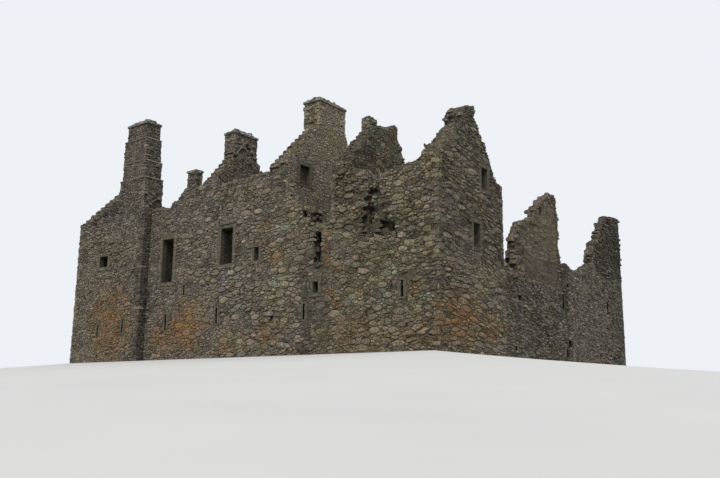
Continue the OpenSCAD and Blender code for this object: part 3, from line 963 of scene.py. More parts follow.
# Rust-coloured patches: axis and level of the wall's face, place along it, height, half width, half height, strength
PATCHES = (
    (1, -0.525, -22.7, 2.1, 1.9, 2.1, 0.9), (1, -0.525, -23.9, 1.0, 0.8, 1.0, 0.5),
    (1, 0.0, -16.3, 1.7, 1.5, 1.3, 1.0), (1, 0.0, -18.3, 1.3, 1.1, 1.0, 0.7), (1, 0.0, -13.4, 0.7, 0.9, 0.5, 0.5),
    (1, 0.0, -10.2, 1.2, 0.9, 0.6, 0.8), (1, 0.0, -6.35, 5.2, 0.22, 1.0, 0.8), (1, 0.0, -10.4, 6.9, 0.4, 0.25, 0.6),
    (1, 0.0, -9.65, 4.97, 0.35, 0.25, 1.0), (1, 0.0, -6.2, 3.0, 0.4, 0.22, 1.2),
    (1, 0.0, -5.65, 2.45, 0.42, 0.2, 1.2), (1, 0.0, -4.5, 2.85, 0.35, 0.2, 0.8),
    (1, 0.0, -1.35, 2.78, 0.4, 0.2, 1.0), (1, 0.0, -5.5, 4.1, 0.5, 0.3, 0.5), (1, 0.0, -4.4, 0.9, 1.8, 0.8, 0.35),
    (0, 0.0, 1.6, 1.5, 1.7, 1.0, 1.0), (0, 0.0, 4.6, 1.2, 1.2, 0.6, 0.6), (1, 0.0, -1.0, 0.9, 1.6, 0.6, 0.35))
# Regions: lowest and highest corner, lighter or darker by, warmer by, range of tones, share of stones that take
# # them, and how much deeper the mortar is washed out. Some of the shifts are painted shade or painted light, as
# marked below
ZONES = (
    # the tower's hollow and the slot over the link's window, whose stones are darkened as painted shade, the
    # hollow's also warmer, with pale single stones at the hollow's back and foot
    ((-4.3, 0.1, 5.3), (-2.2, 0.7, 8.1), -0.32, 0.3, (0.0, 0.4)),
    ((-3.9, 0.15, 6.9), (-3.1, 0.5, 7.9), 0.35, 0.0, GREEN),
    ((-3.8, -0.1, 5.0), (-2.5, 0.1, 5.5), 0.22, 0.0, PALE, 1.0, 1.5),
    ((-7.4, 0.1, 4.3), (-6.5, 0.7, 6.2), -0.4, 0.2),
    # broad regions of the front
    ((-6.2, -0.1, 6.0), (-4.4, 0.1, 8.8), -0.14, 0.0, None, 1.0, 1.7),
    ((-4.4, -0.1, 5.5), (-0.3, 0.1, 8.8), 0.0, 0.0, None, 1.0, 1.3),
    ((-19.6, -0.1, 0.0), (-8.0, 0.1, 8.2), 0.08),
    ((-8.0, -0.1, 0.0), (-6.2, 0.1, 5.0), -0.2),
    ((-22.6, -0.7, 8.8), (-20.1, 1.3, 15.0), -0.1),
    # end gable and the tower's left gable: painted shade inside the end gable's window and on the steps of the left
    # gable, painted light on the end gable's side that faces the tower, which stands in shade, and a darker front
    ((-9.95, 1.4, 9.0), (-9.65, 2.5, 10.4), -0.35),
    ((-6.2, 0.2, 9.1), (-5.0, 2.3, 11.4), -0.2),
    ((-9.65, 0.1, 6.5), (-9.5, 9.0, 14.5), 0.5),
    ((-10.7, -0.1, 7.0), (-9.3, 0.1, 10.0), -0.15),
    # regions with green, purple or pale stones
    ((-9.0, 0.0, 7.3), (-4.6, 0.1, 9.2), -0.06, 0.1, GREEN, 0.15),
    ((-6.2, 2.0, 10.4), (-4.9, 6.1, 12.6), -0.08, 0.1, GREEN, 0.3),
    ((-1.0, 0.0, 9.6), (0.1, 6.1, 12.2), -0.05, 0.0, GREEN, 0.3),
    ((-10.2, -0.1, 1.1), (-7.0, 0.1, 1.5), 0.0, 0.0, PURPLE, 0.5),
    ((-14.2, -0.1, 3.5), (-13.4, 0.1, 4.7), 0.1, 0.0, PURPLE, 0.6),
    ((-0.95, -0.1, 2.2), (-0.25, 0.1, 2.62), 0.05, 0.0, GREEN),
    ((-3.4, -0.1, 2.05), (-2.8, 0.1, 2.45), 0.12, 0.0, GREEN),
    ((-2.95, -0.1, 3.55), (-2.3, 0.1, 3.95), 0.12, 0.0, GREEN),
    ((-9.75, -0.1, 6.2), (-9.15, 0.1, 6.7), 0.25, 0.0, GREEN),
    ((-10.0, -0.1, 3.5), (-9.2, 0.1, 4.15), 0.25, 0.0, GREEN),
    ((-6.1, -0.1, 6.3), (-4.7, 0.1, 7.1), 0.3, 0.0, PALE, 0.6),
    # the right side, from the joint of the two ranges, whose narrow strip is darkened as painted shade, to the old
    # tower, and the tower's own side
    ((-0.1, 13.3, 0.0), (0.1, 13.75, 5.6), -0.35),
    ((-0.5, 20.8, 0.0), (0.1, 23.5, 10.0), -0.12, 0.1, GREEN, 0.5),
    ((-1.6, 18.5, 6.8), (-0.3, 20.8, 8.7), -0.3),
    ((-0.1, 0.1, 4.2), (0.1, 6.1, 12.2), -0.06, -0.15),
    ((-0.1, 0.1, 0.0), (0.1, 6.1, 4.2), 0.13, 0.2),
    ((-0.1, 6.1, 0.0), (0.1, 13.5, 4.2), -0.08, 0.1, (0.1, 0.6), 0.5),
    ((-0.4, 8.8, 4.0), (-0.2, 13.2, 9.2), -0.16, 0.7, (0.3, 0.65)),
    ((-0.1, 13.75, 0.0), (0.1, 20.3, 6.2), 0.12, 0.1),
    ((-2.0, 18.2, 5.7), (0.1, 23.6, 10.0), -0.3, 0.0, None, 1.0, 1.7),
    # more of the end gable, the left bay's return, darkened as painted shade with some purple and grey stones, its
    # front, and the tower's wall head
    ((-10.6, 0.0, 6.0), (-9.55, 9.0, 14.5), 0.0, 0.0, (0.35, 0.57), 0.8),
    ((-20.0, -0.53, 0.0), (-19.5, -0.01, 9.0), -0.3, 0.0, (0.0, 0.4), 0.5),
    ((-26.5, -0.6, 0.0), (-20.0, -0.5, 8.0), 0.05, 0.3, (0.1, 0.5), 0.5),
    ((-6.2, 0.0, 8.3), (-0.9, 0.9, 9.2), -0.1))


@dataclass
class Weather:
    """Where the stones are warm or cool in colour, lighter or darker, where painted shade and light lie on them, and
    where lichen grows.
    """

    patches: tuple[Patch, ...] = tuple(Patch(*row) for row in PATCHES)
    zones: tuple[Zone, ...] = tuple(Zone(*row) for row in ZONES)

    def coarse(self, places: np.ndarray, axis: int) -> np.ndarray:
        """How often large stones are used: often low on the tower, seldom at the left and high up.

        Args:
            places: Points of a face.
            axis: The axis the face looks along.

        Returns:
            From 0 to 1 for each point.
        """
        x, y, z = (places - np.array(CORNER)).T
        along = np.clip((x + 21.0) / 13.0, 0.12, 1.0)
        back = np.clip(1.3 - y / 14.0, 0.25, 1.0)
        low = np.clip(1.5 - z / 9.0, 0.2, 1.0)
        broken = (x > -9.5) & (x < -4.0) & (z > 5.0)
        return along * back * low * np.where(broken, 2.0, 1.0) * (1.0 if axis < 2 else 2.0)

    def warmth(self, local: np.ndarray) -> float:
        """How warm the stone's colour is at a point: cool at the left and the right, warm on the tower.

        Args:
            local: A point, from the near corner.

        Returns:
            From 0 to 1.
        """
        x, y, z = local
        along = max(0.0, min(1.0, (x + 20.0) / 16.0))
        back = max(0.0, min(1.0, (y - 4.0) / 5.0))
        wave = 0.12 * math.sin(x * 0.9 + 1.0) * math.cos(z * 0.7 + y * 0.5)
        side = 0.2 if x > -0.1 and y > 0.12 else 0.0
        return max(0.0, min(1.0, 0.25 + 0.6 * along - 0.6 * back - side + wave))

    def washed(self, point: np.ndarray) -> float:
        """How far the mortar is washed out at a point: it is flush in some patches and deep in others.

        Args:
            point: Where a stone lies.

        Returns:
            From 0.45 to 1.35, and more in the worn regions.
        """
        along, up = point[0] + point[1], point[2]
        wave = math.sin(0.9 * along + 1.3 * up + 0.7) + math.sin(1.7 * along - 2.1 * up + 2.0)
        deep = 0.9 + 0.15 * (wave + math.sin(0.6 * along + 0.4 * up))
        local = point - np.array(CORNER)
        return max([deep] + [deep * zone.deep for zone in self.zones if zone.deep > 1.0 and zone.holds(local)])

    def tint(self, point: np.ndarray, random: np.random.Generator, dark: float = 0.0,
             spread: float = 0.12) -> tuple:
        """Picks a stone's tint.

        Args:
            point: Where the stone lies.
            random: The source of chance.
            dark: How much darker than usual it is.
            spread: How much its shade strays.

        Returns:
            Tone, shade, warmth and lichen.
        """
        local = point - np.array(CORNER)
        lichen = max(p.share(local) for p in self.patches)
        tone = float(random.uniform(0.1, 0.85) if random.uniform() < 0.96 else random.uniform(0, 1))
        shade, warm = 0.5 - dark, self.warmth(local)
        if local[0] > -0.1 and local[1] > 6.1:
            shade += 0.07 * math.sin(local[1] * 4.1) * math.sin(local[1] * 1.7 + 0.4)
        for zone in self.zones:
            if zone.holds(local):
                shade, warm = shade + zone.shade, warm + zone.warm
                if zone.tones and random.uniform() < zone.share:
                    tone = float(random.uniform(*zone.tones))
        shade, warm = (float(np.clip(random.normal(value, stray), 0, 1))
                       for value, stray in ((shade, spread), (warm, 0.1)))
        return (tone, shade, warm, float(np.clip(lichen * random.uniform(0.6, 1.2), 0, 1)))


@dataclass(frozen=True)
class Coursing:
    """How rubble is laid: half-widths of its stones with darts thrown for each square metre, largest first."""

    kinds: tuple = ((0.14, 0.2, 4.0), (0.09, 0.13, 11.0), (0.055, 0.08, 70.0), (0.032, 0.044, 80.0))
    stretch: float = 1.95
    joint: float = 0.004
    rise: float = 0.028
    rise_spread: float = 0.02
    close: float = 0.67
    gap: float = 0.024
    fine_above: float = 0.0


def cut(shape: list[Point], across: float, up: float, limit: float) -> list[Point]:
    """Cuts a convex outline along a line.

    Args:
        shape: The outline's points.
        across: The line's normal, first part.
        up: The line's normal, second part.
        limit: The line's distance along its normal.

    Returns:
        The part of the outline behind the line.
    """
    kept = []
    for spot, (x, y) in enumerate(shape):
        px, py = shape[spot - 1]
        here, before = across * x + up * y - limit, across * px + up * py - limit
        if (here < 0) != (before < 0):
            share = before / (before - here)
            kept.append((px + share * (x - px), py + share * (y - py)))
        if here < 0:
            kept.append((x, y))
    return kept


def corners_of(shape: list[Point], count: int) -> list[Point]:
    """Gives an outline a number of corners: the sharpest ones are knocked off, the flattest ones dropped.

    Args:
        shape: The outline's points.
        count: How many corners it gets.

    Returns:
        The outline's new points.
    """
    def bend(spot: int) -> float:
        """Size of the triangle at one corner."""
        (ax, ay), (bx, by), (cx, cy) = shape[spot - 1], shape[spot], shape[(spot + 1) % len(shape)]
        return abs((bx - ax) * (cy - ay) - (by - ay) * (cx - ax))

    while len(shape) > count:
        spot = min(range(len(shape)), key=bend)
        shape = shape[:spot] + shape[spot + 1:]
    while len(shape) < count:
        spot = max(range(len(shape)), key=bend)
        x, y = shape[spot]
        beside = (shape[spot - 1], shape[(spot + 1) % len(shape)])
        shape = shape[:spot] + [(x + 0.2 * (a - x), y + 0.2 * (b - y)) for a, b in beside] + shape[spot + 1:]
    return shape


class Mason:
    """Lays stones over the faces of the walls."""

    # Width of the cells in which neighbours are looked for, and least half-width of a stone that counts as large
    NEAR = 0.46
    LARGE = 0.085
    # Areas below which a stone is a pinning and above which it is a boulder, with how dark and how varied they are
    PINNING = 0.02
    BOULDER = 0.1
    SHADES = {"pinning": (0.02, 0.26), "plain": (0.0, 0.17), "boulder": (-0.01, 0.13)}
    # Step in which edges are looked at, least height of a corner stone and half the joint above it
    STEP = 0.05
    LOW = 0.12
    GAP = 0.006

    def __init__(self, survey: WallSurvey, weather: Weather) -> None:
        """Gets the stone shapes ready.

        Args:
            survey: The walls.
            weather: The stones' colours.
        """
        self.survey, self.weather = survey, weather
        self.boulder = StoneShape(((0.95, 0.6), (0.76, 0.95)), 1.0, 7)
        self.plain = StoneShape(((0.9, 0.85),), 1.05, 6)
        self.pinning = StoneShape(((0.88, 0.9),), 1.0, 5)
        self.slab = StoneShape(((0.95, 0.6), (0.76, 0.95)), 1.0)
        self.block = BlockShape()
        self.laid: list[tuple[StoneShape, Stone]] = []
        self.slabs: list[tuple[StoneShape, Stone]] = []
        self.turn = 0.0

    def _bent(self, shape: list[Point], way: Coursing) -> list[Point]:
        """Undoes the bending of the beds, so that an outline lies on the face.

        Args:
            shape: The outline in bent coordinates.
            way: How the rubble is laid.

        Returns:
            The outline on the face.
        """
        flat = []
        for x, y in shape:
            v = y - 0.05 * math.sin(2.1 * x + self.turn)
            flat.append(((x - 0.07 * math.sin(2.3 * v + 0.9 * x + self.turn)) * way.stretch, v))
        return flat

    def _near(self, cells: dict[tuple[int, int], list], x: float, y: float) -> list:
        """Lists the stones in the cells round a point.

        Args:
            cells: The stones by cell.
            x: The point's first coordinate.
            y: Its second coordinate.

        Returns:
            The stones as middle and half-width.
        """
        i, j = int(x // self.NEAR), int(y // self.NEAR)
        return [site for a in (i - 1, i, i + 1) for b in (j - 1, j, j + 1) for site in cells.get((a, b), ())]

    def _throw(self, face: WallFace, way: Coursing, random: np.random.Generator) -> tuple[list, dict]:
        """Picks the middles of a face's stones so that none lie too close together.

        Args:
            face: The face.
            way: How the rubble is laid.
            random: The source of chance.

        Returns:
            The stones as middle and half-width, in a row and by cell.
        """
        sites, cells = [], {}
        size = face.size()
        for low, high, darts in way.kinds:
            spots = random.uniform(0, 1, (int(darts * size.prod()), 2)) * size + face.low
            spots = spots[face.free(spots)]
            if low > self.LARGE and len(spots):
                spots = spots[random.uniform(0, 1, len(spots)) < self.weather.coarse(face.place(spots), face.axis)]
            if way.fine_above and len(spots):
                above = face.place(spots)[:, 2] > way.fine_above
                spots = spots[above if high < 0.08 else ~above | (random.uniform(0, 1, len(spots)) < 0.2)]
            radii = random.uniform(low, high, len(spots))
            for (u, y), r in zip(spots.tolist(), radii.tolist()):
                x = u / way.stretch
                x += 0.07 * math.sin(2.3 * y + 0.9 * x + self.turn)
                y += 0.05 * math.sin(2.1 * x + self.turn)
                if all((sx - x) ** 2 + (sy - y) ** 2 >= (way.close * (r + sr)) ** 2
                       for sx, sy, sr in self._near(cells, x, y)):
                    cells.setdefault((int(x // self.NEAR), int(y // self.NEAR)), []).append((x, y, r))
                    sites.append((x, y, r))
        return sites, cells

    def _outline(self, site: tuple[float, float, float], others: list, way: Coursing) -> list[Point]:
        """Works out how far a stone reaches before it meets its neighbours.

        Args:
            site: The stone's middle and half-width.
            others: Those of its neighbours.
            way: How the rubble is laid.

        Returns:
            The outline on the face.
        """
        x, y, r = site
        reach = 1.6 * r + 0.03
        shape = [(x + reach * math.cos(k * math.pi / 4 + x), y + reach * math.sin(k * math.pi / 4 + x))
                 for k in range(8)]
        for ox, oy, other in others:
            dx, dy = ox - x, oy - y
            far = math.hypot(dx, dy)
            if far < 1e-6 or far > 3.6 * (r + 0.1):
                continue
            limit = (far * far + r * r - other * other) / (2 * far) - way.joint
            shape = cut(shape, dx / far, dy / far, limit + (dx * x + dy * y) / far)
            if len(shape) < 3:
                return []
        return self._bent(shape, way)

    @staticmethod
    def _trim(face: WallFace, shape: list[Point]) -> list[Point]:
        """Cuts an outline back where it leaves the part of the wall that is free.

        Args:
            face: The face.
            shape: The outline.

        Returns:
            The outline, or nothing when too little is left.
        """
        for _ in range(4):
            points = np.array(shape)
            middle = points.mean(0)
            edge = (points + np.roll(points, 1, axis=0)) / 2
            spots = np.concatenate([points, middle + (points - middle) * 0.66, middle + (points - middle) * 0.33,
                                    edge, [middle]])
            closed, free = face.closed(spots), face.free(spots)
            bad = closed if closed.any() else ~free
            if not bad.any() or (not closed.any() and bad.mean() < 0.25):
                return shape
            low, high = points.min(0), points.max(0)
            wide = np.maximum(high - low, 1e-6)
            least, most = (spots[bad].min(0) - low) / wide, (high - spots[bad].max(0)) / wide
            room = [least[0], most[0], least[1], most[1]]
            best = int(np.argmax(room))
            if room[best] < 0.18:
                return []
            way = ((1, 0), (-1, 0), (0, 1), (0, -1))[best]
            shape = cut(shape, *way, float((spots[bad] @ np.array(way)).min()) - 0.006)
            if len(shape) < 3:
                return []
        return []

    def lay_face(self, face: WallFace, way: Coursing, seed: int) -> None:
        """Lays random rubble over one face.

        Args:
            face: The face.
            way: How the rubble is laid.
            seed: Seed of its pattern.
        """
        random = np.random.default_rng(seed)
        self.turn = seed * 0.7
        sites, cells = self._throw(face, way, random)
        for x, y, r in sites:
            whole = self._outline((x, y, r), self._near(cells, x, y), way)
            if len(whole) < 3:
                continue
            shape = self._trim(face, whole)
            if not shape:
                middle = np.array(self._bent([(x, y)], way))
                shape = self._trim(face, (middle + (np.array(whole) - middle) * 0.6).tolist())
            if len(shape) > 2:
                self._set(face, shape, way, random)

    def _set(self, face: WallFace, shape: list[Point], way: Coursing, random: np.random.Generator) -> None:
        """Sets one stone.

        Args:
            face: The face.
            shape: Its outline.
            way: How the rubble is laid.
            random: The source of chance.
        """
        points = np.array(shape)
        spread = points.max(0) - points.min(0)
        area = float(spread.prod())
        if spread.min() < 0.035:
            return
        kind, count = ("plain", 6) if self.PINNING <= area <= self.BOULDER else (
            ("pinning", 5) if area < self.PINNING else ("boulder", 7))
        points = np.array(corners_of(shape, count))
        middle = points.mean(0)
        pull = np.minimum(0.22, way.gap / np.linalg.norm(points - middle, axis=1))
        points = middle + (points - middle) * (1 - pull * random.uniform(0, 1, count) ** 1.5)[:, None]
        corners = face.place(points)
        rise = way.rise + way.rise_spread * random.uniform(-1, 1) + 0.012 * min(1.0, area / 0.2)
        if random.uniform() < 0.1:
            rise += way.rise_spread * random.uniform(0.5, 2.0)
        rise *= self.weather.washed(corners.mean(0))
        tint = self.weather.tint(corners.mean(0), random, *self.SHADES[kind])
        stone = Stone(corners, face.out, max(0.006, rise), 0.015, tint, 0.03, 0.6, 0.3)
        self.laid.append((getattr(self, kind), stone))

    def lay_corners(self) -> None:
        """Lays corner stones wherever two faces meet in an outer corner."""
        across, along = ([f for f in self.survey.faces if f.axis == axis] for axis in (0, 1))
        steps = np.arange(self.STEP, 15.5, self.STEP)
        for first in across:
            for second in along:
                both = first.free(first.flat(self._edge(first, second, steps, -0.06, 0))) & second.free(
                    second.flat(self._edge(first, second, steps, -0.06, 1)))
                if both.sum() >= 8:
                    self._stack_corner(first, second, steps, both)

    @staticmethod
    def _edge(first: WallFace, second: WallFace, heights: np.ndarray, back: float, side: int) -> np.ndarray:
        """Points just beside the edge where two faces meet.

        Args:
            first: The face across X.
            second: The face across Y.
            heights: Heights of the points.
            back: Distance from the edge, negative into the face.
            side: 0 for points on the first face, 1 for the second.

        Returns:
            The points.
        """
        x = first.level + (back * first.sign if side == 1 else 0.0)
        y = second.level + (back * second.sign if side == 0 else 0.0)
        return np.stack([np.full_like(heights, x), np.full_like(heights, y), heights], axis=-1)

    def _stack_corner(self, first: WallFace, second: WallFace, steps: np.ndarray, both: np.ndarray) -> None:
        """Stacks corner stones up one edge.

        Args:
            first: The face across X.
            second: The face across Y.
            steps: Heights that were looked at.
            both: Whether both faces show at each height.
        """
        random = np.random.default_rng(int(abs(first.level * 100) + abs(second.level * 1000)) + 3)
        edges = np.flatnonzero(np.diff(np.concatenate([[0], both.astype(int), [0]])))
        for start, end in zip(edges[::2], edges[1::2]):
            low = 0.0 if steps[start] < 0.08 else float(steps[start]) - 0.03
            high = float(steps[end - 1]) + 0.03
            long_first = bool(random.integers(2))
            while high - low > self.LOW:
                tall = float(random.uniform(self.LOW, 0.26))
                if high - low - tall < self.LOW:
                    tall = high - low
                reach = [float(random.uniform(0.2, 0.55)), float(random.uniform(0.13, 0.34))]
                if not long_first:
                    reach.reverse()
                reach = [min(r, self._room(first, second, low + tall / 2, side)) for side, r in enumerate(reach)]
                if min(reach) > 0.1:
                    self._corner_stone(first, second, (low, tall), reach, random)
                low += tall
                long_first = not long_first

    def _room(self, first: WallFace, second: WallFace, height: float, side: int) -> float:
        """How far back from an edge one of its faces shows.

        Args:
            first: The face across X.
            second: The face across Y.
            height: The height to look at.
            side: 0 for the first face, 1 for the second.

        Returns:
            The distance, at most 0.7 m.
        """
        free, face = 0.0, (first, second)[side]
        for back in np.arange(self.STEP, 0.75, self.STEP):
            if not face.free(face.flat(self._edge(first, second, np.array([height]), -back, side)))[0]:
                return free * 0.62 if free < 0.4 else free
            free = float(back)
        return free

    def _corner_stone(self, first: WallFace, second: WallFace, span: Point, reach: list[float],
                      random: np.random.Generator) -> None:
        """Lays one corner stone and keeps the rubble off its place.

        Args:
            first: The face across X.
            second: The face across Y.
            span: Foot and height of the stone.
            reach: How far it runs back along each face.
            random: The source of chance.
        """
        low, tall = span
        out = [0.02 + float(random.uniform(-0.012, 0.014)) for _ in range(2)]
        (x0, x1), (y0, y1) = (sorted((face.level - face.sign * back, face.level + face.sign * lip))
                              for face, back, lip in ((first, reach[1], out[0]), (second, reach[0], out[1])))
        corners = np.array([[x, y, low + self.GAP] for x, y in ((x0, y0), (x1, y0), (x1, y1), (x0, y1))])
        tint = self.weather.tint(np.array([first.level, second.level, low + tall / 2]), random, 0.05, 0.16)
        stone = Stone(corners, UP, tall - 2 * self.GAP, 0.0, tint, 0.14, 0.0, 0.1)
        self.laid.append((self.block, stone))
        edge = self._edge(first, second, np.array([low]), 0.0, 0)
        for face, other, length in ((first, second, reach[0]), (second, first, reach[1])):
            back = edge.copy()
            back[0, other.axis] = other.level - other.sign * (length - 0.1)
            near, far = (face.flat(place)[0, 0] for place in (edge, back))
            face.keep_off((near, low), (far, low + tall))

    def lay_tops(self, spacing: float, seed: int) -> None:
        """Sets flat-bedded stones over the broken, sloping tops and sides, and slabs over the caps' slopes.

        Args:
            spacing: Least distance between two stones.
            seed: Seed of their places.
        """
        random = np.random.default_rng(seed)
        kept: dict[tuple, list] = {}
        for name, tri, normal in self.survey.slopes:
            cap = name.endswith("_cap")
            box = np.array(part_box(name)) + np.array([[-0.04], [0.04]])
            area = np.linalg.norm(np.cross(tri[1] - tri[0], tri[2] - tri[0])) / 2
            for _ in range(int(random.poisson(area / (spacing * spacing) * 4.0))):
                p, q = random.uniform(size=2)
                if p + q > 1:
                    p, q = 1 - p, 1 - q
                spot = tri[0] + p * (tri[1] - tri[0]) + q * (tri[2] - tri[0])
                cell = tuple(np.floor(spot / spacing).astype(int))
                near = [s for dx in (-1, 0, 1) for dy in (-1, 0, 1) for dz in (-1, 0, 1)
                        for s in kept.get((cell[0] + dx, cell[1] + dy, cell[2] + dz), [])]
                if any(np.linalg.norm(spot - s) < spacing * (0.75 if cap else 1.0) for s in near):
                    continue
                if self.survey.distance(spot + normal * 0.03, normal, 0.3) < 0.25:
                    continue
                kept.setdefault(cell, []).append(spot)
                self._bedded(spot, normal, random, cap, box)

    def _bedded(self, spot: np.ndarray, normal: np.ndarray, random: np.random.Generator, cap: bool,
                box: np.ndarray) -> None:
        """Sets one flat-bedded stone whose end stands out of the slope.

        Args:
            spot: A point of the slope.
            normal: The way the slope faces.
            random: The source of chance.
            cap: Whether it is a slab on a chimney cap.
            box: Lowest and highest point it may reach, so that it stays flush with the wall's faces.
        """
        size = random.uniform(0.11, 0.18) if cap else random.uniform(0.1, 0.19)
        tall = random.uniform(0.06, 0.11) if cap else random.uniform(0.1, 0.22)
        spot = spot - normal * random.uniform(0.03, 0.07 if cap else 0.13)
        turn = random.normal(0.0, 0.25)
        angles = np.arange(8) * math.pi / 4 + math.pi / 8 + random.uniform(-0.2, 0.2, 8)
        wide = size * random.uniform(1.0, 1.3, 8)
        x, y = np.cos(angles) * wide * random.uniform(1.0, 1.3), np.sin(angles) * wide
        out = np.array([random.normal(0, 0.08), random.normal(0, 0.08), 1.0])
        corners = np.stack([spot[0] + x * math.cos(turn) - y * math.sin(turn),
                            spot[1] + x * math.sin(turn) + y * math.cos(turn),
                            np.full(8, spot[2] - tall / 2)], 1)
        corners[:, :2] = np.clip(corners[:, :2], box[0, :2], box[1, :2])
        tint = self.weather.tint(spot, random, 0.0 if cap else 0.08)
        pile = self.slabs if cap else self.laid
        pile.append((self.slab, Stone(corners, out, tall, 0.0, tint, 0.1, 0.25)))

    def lay_slabs(self, name: str) -> None:
        """Lays the thin, projecting slabs round the edge of a chimney cap.

        Args:
            name: The cap's node.
        """
        low, high = (np.array(c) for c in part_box(name))
        random = np.random.default_rng(len(name))
        deep, lip, joint = 0.26, 0.012, 0.004
        for axis, side in ((0, 0), (0, 1), (1, 0), (1, 1)):
            at, end = low[axis] - lip, high[axis] + lip
            while end - at > 0.05:
                long = float(random.uniform(0.3, 0.6))
                if end - at - long < 0.2:
                    long = end - at
                way = 1 if side else -1
                edge = (high if side else low)[1 - axis] + way * random.uniform(0, lip)
                inner = edge - way * deep
                left, right = at + joint, at + long - joint
                box = np.array([[left, edge], [right, edge], [right, inner], [left, inner]])
                if side:
                    box = box[::-1]
                if axis:
                    box = box[::-1, ::-1]
                corners = np.column_stack([box, np.full(4, low[2] + random.uniform(0.0, 0.02))])
                tint = self.weather.tint(corners.mean(0), random, 0.1)
                stone = Stone(corners, UP, 0.1 + random.uniform(0, 0.03), 0.0, tint, 0.02, 0.05, 0.05)
                self.slabs.append((self.block, stone))
                at += long


@dataclass(frozen=True)
class Opening:
    """A window, slit or hollow in a wall face, in coordinates from the near corner."""

    axis: int
    level: float
    along: float
    sill: float
    width: float
    height: float
    jamb: float = 0.11
    lintel: float = 0.16
    proud: float = 0.03
    reveal: float = 0.28
    bedded: bool = True

    def narrow(self) -> bool:
        """Tells whether the opening is one hand wide."""
        return self.width < 0.2


# Windows: axis and level of the wall's face, place along it, sill, width, height, then jamb and lintel
WINDOWS = (
    (1, 0.0, -18.75, 4.42, 0.97, 2.53, 0.09, 0.3), (1, 0.0, -13.85, 5.0, 0.93, 2.0, 0.14, 0.2),
    (1, 0.0, -11.3, 5.0, 0.35, 0.7), (1, -0.525, -24.07, 5.75, 0.82, 0.65, 0.09, 0.1),
    (1, 0.0, -7.2, 3.0, 0.35, 0.55), (0, 0.0, 3.05, 5.0, 0.62, 1.15, 0.14, 0.18),
    (0, 0.0, 3.9, 7.95, 0.6, 1.08, 0.12, 0.18), (0, -9.6, 1.55, 9.2, 0.8, 1.1, 0.2, 0.22, 0.014, 0.14, False))
# Slits of the front: level of the wall's face, place along it, sill, height and jamb
SLITS = (
    (0.0, -18.215, 1.7, 0.9, 0.1), (0.0, -16.765, 3.6, 0.55, 0.1), (0.0, -14.025, 1.85, 0.85, 0.1),
    (-0.525, -23.865, 1.6, 0.65, 0.09), (-0.525, -21.465, 1.65, 0.8, 0.09), (0.0, -7.815, 1.75, 0.75, 0.12),
    (0.0, -2.015, 2.45, 0.75, 0.14))
# Slits and hollows of the right side: place along the wall, sill, width, height and depth
HOLLOWS = (
    (12.975, 3.0, 0.13, 0.8, 0.27), (19.835, 3.3, 0.13, 0.8, 0.27), (13.18, 0.3, 0.36, 0.45, 0.58),
    (7.1, 0.4, 0.2, 0.2, 0.38), (7.6, 2.95, 0.35, 0.25, 0.43), (13.7, 4.3, 0.25, 0.3, 0.48),
    (13.65, 0.95, 0.35, 0.35, 0.48))
# Mortar fillets on the lime-faced wall, from end to end, and the lowest and highest corner of the socket, where a
# near-black plate paints the shadow of the hole
FILLETS = (((8.6, 5.6), (11.5, 4.45)), ((9.35, 4.45), (10.25, 5.02)), ((11.1, 5.25), (12.6, 5.6)))
PAINTED_SOCKET_SHADOW = ((11.0, 8.1), (11.2, 8.46))


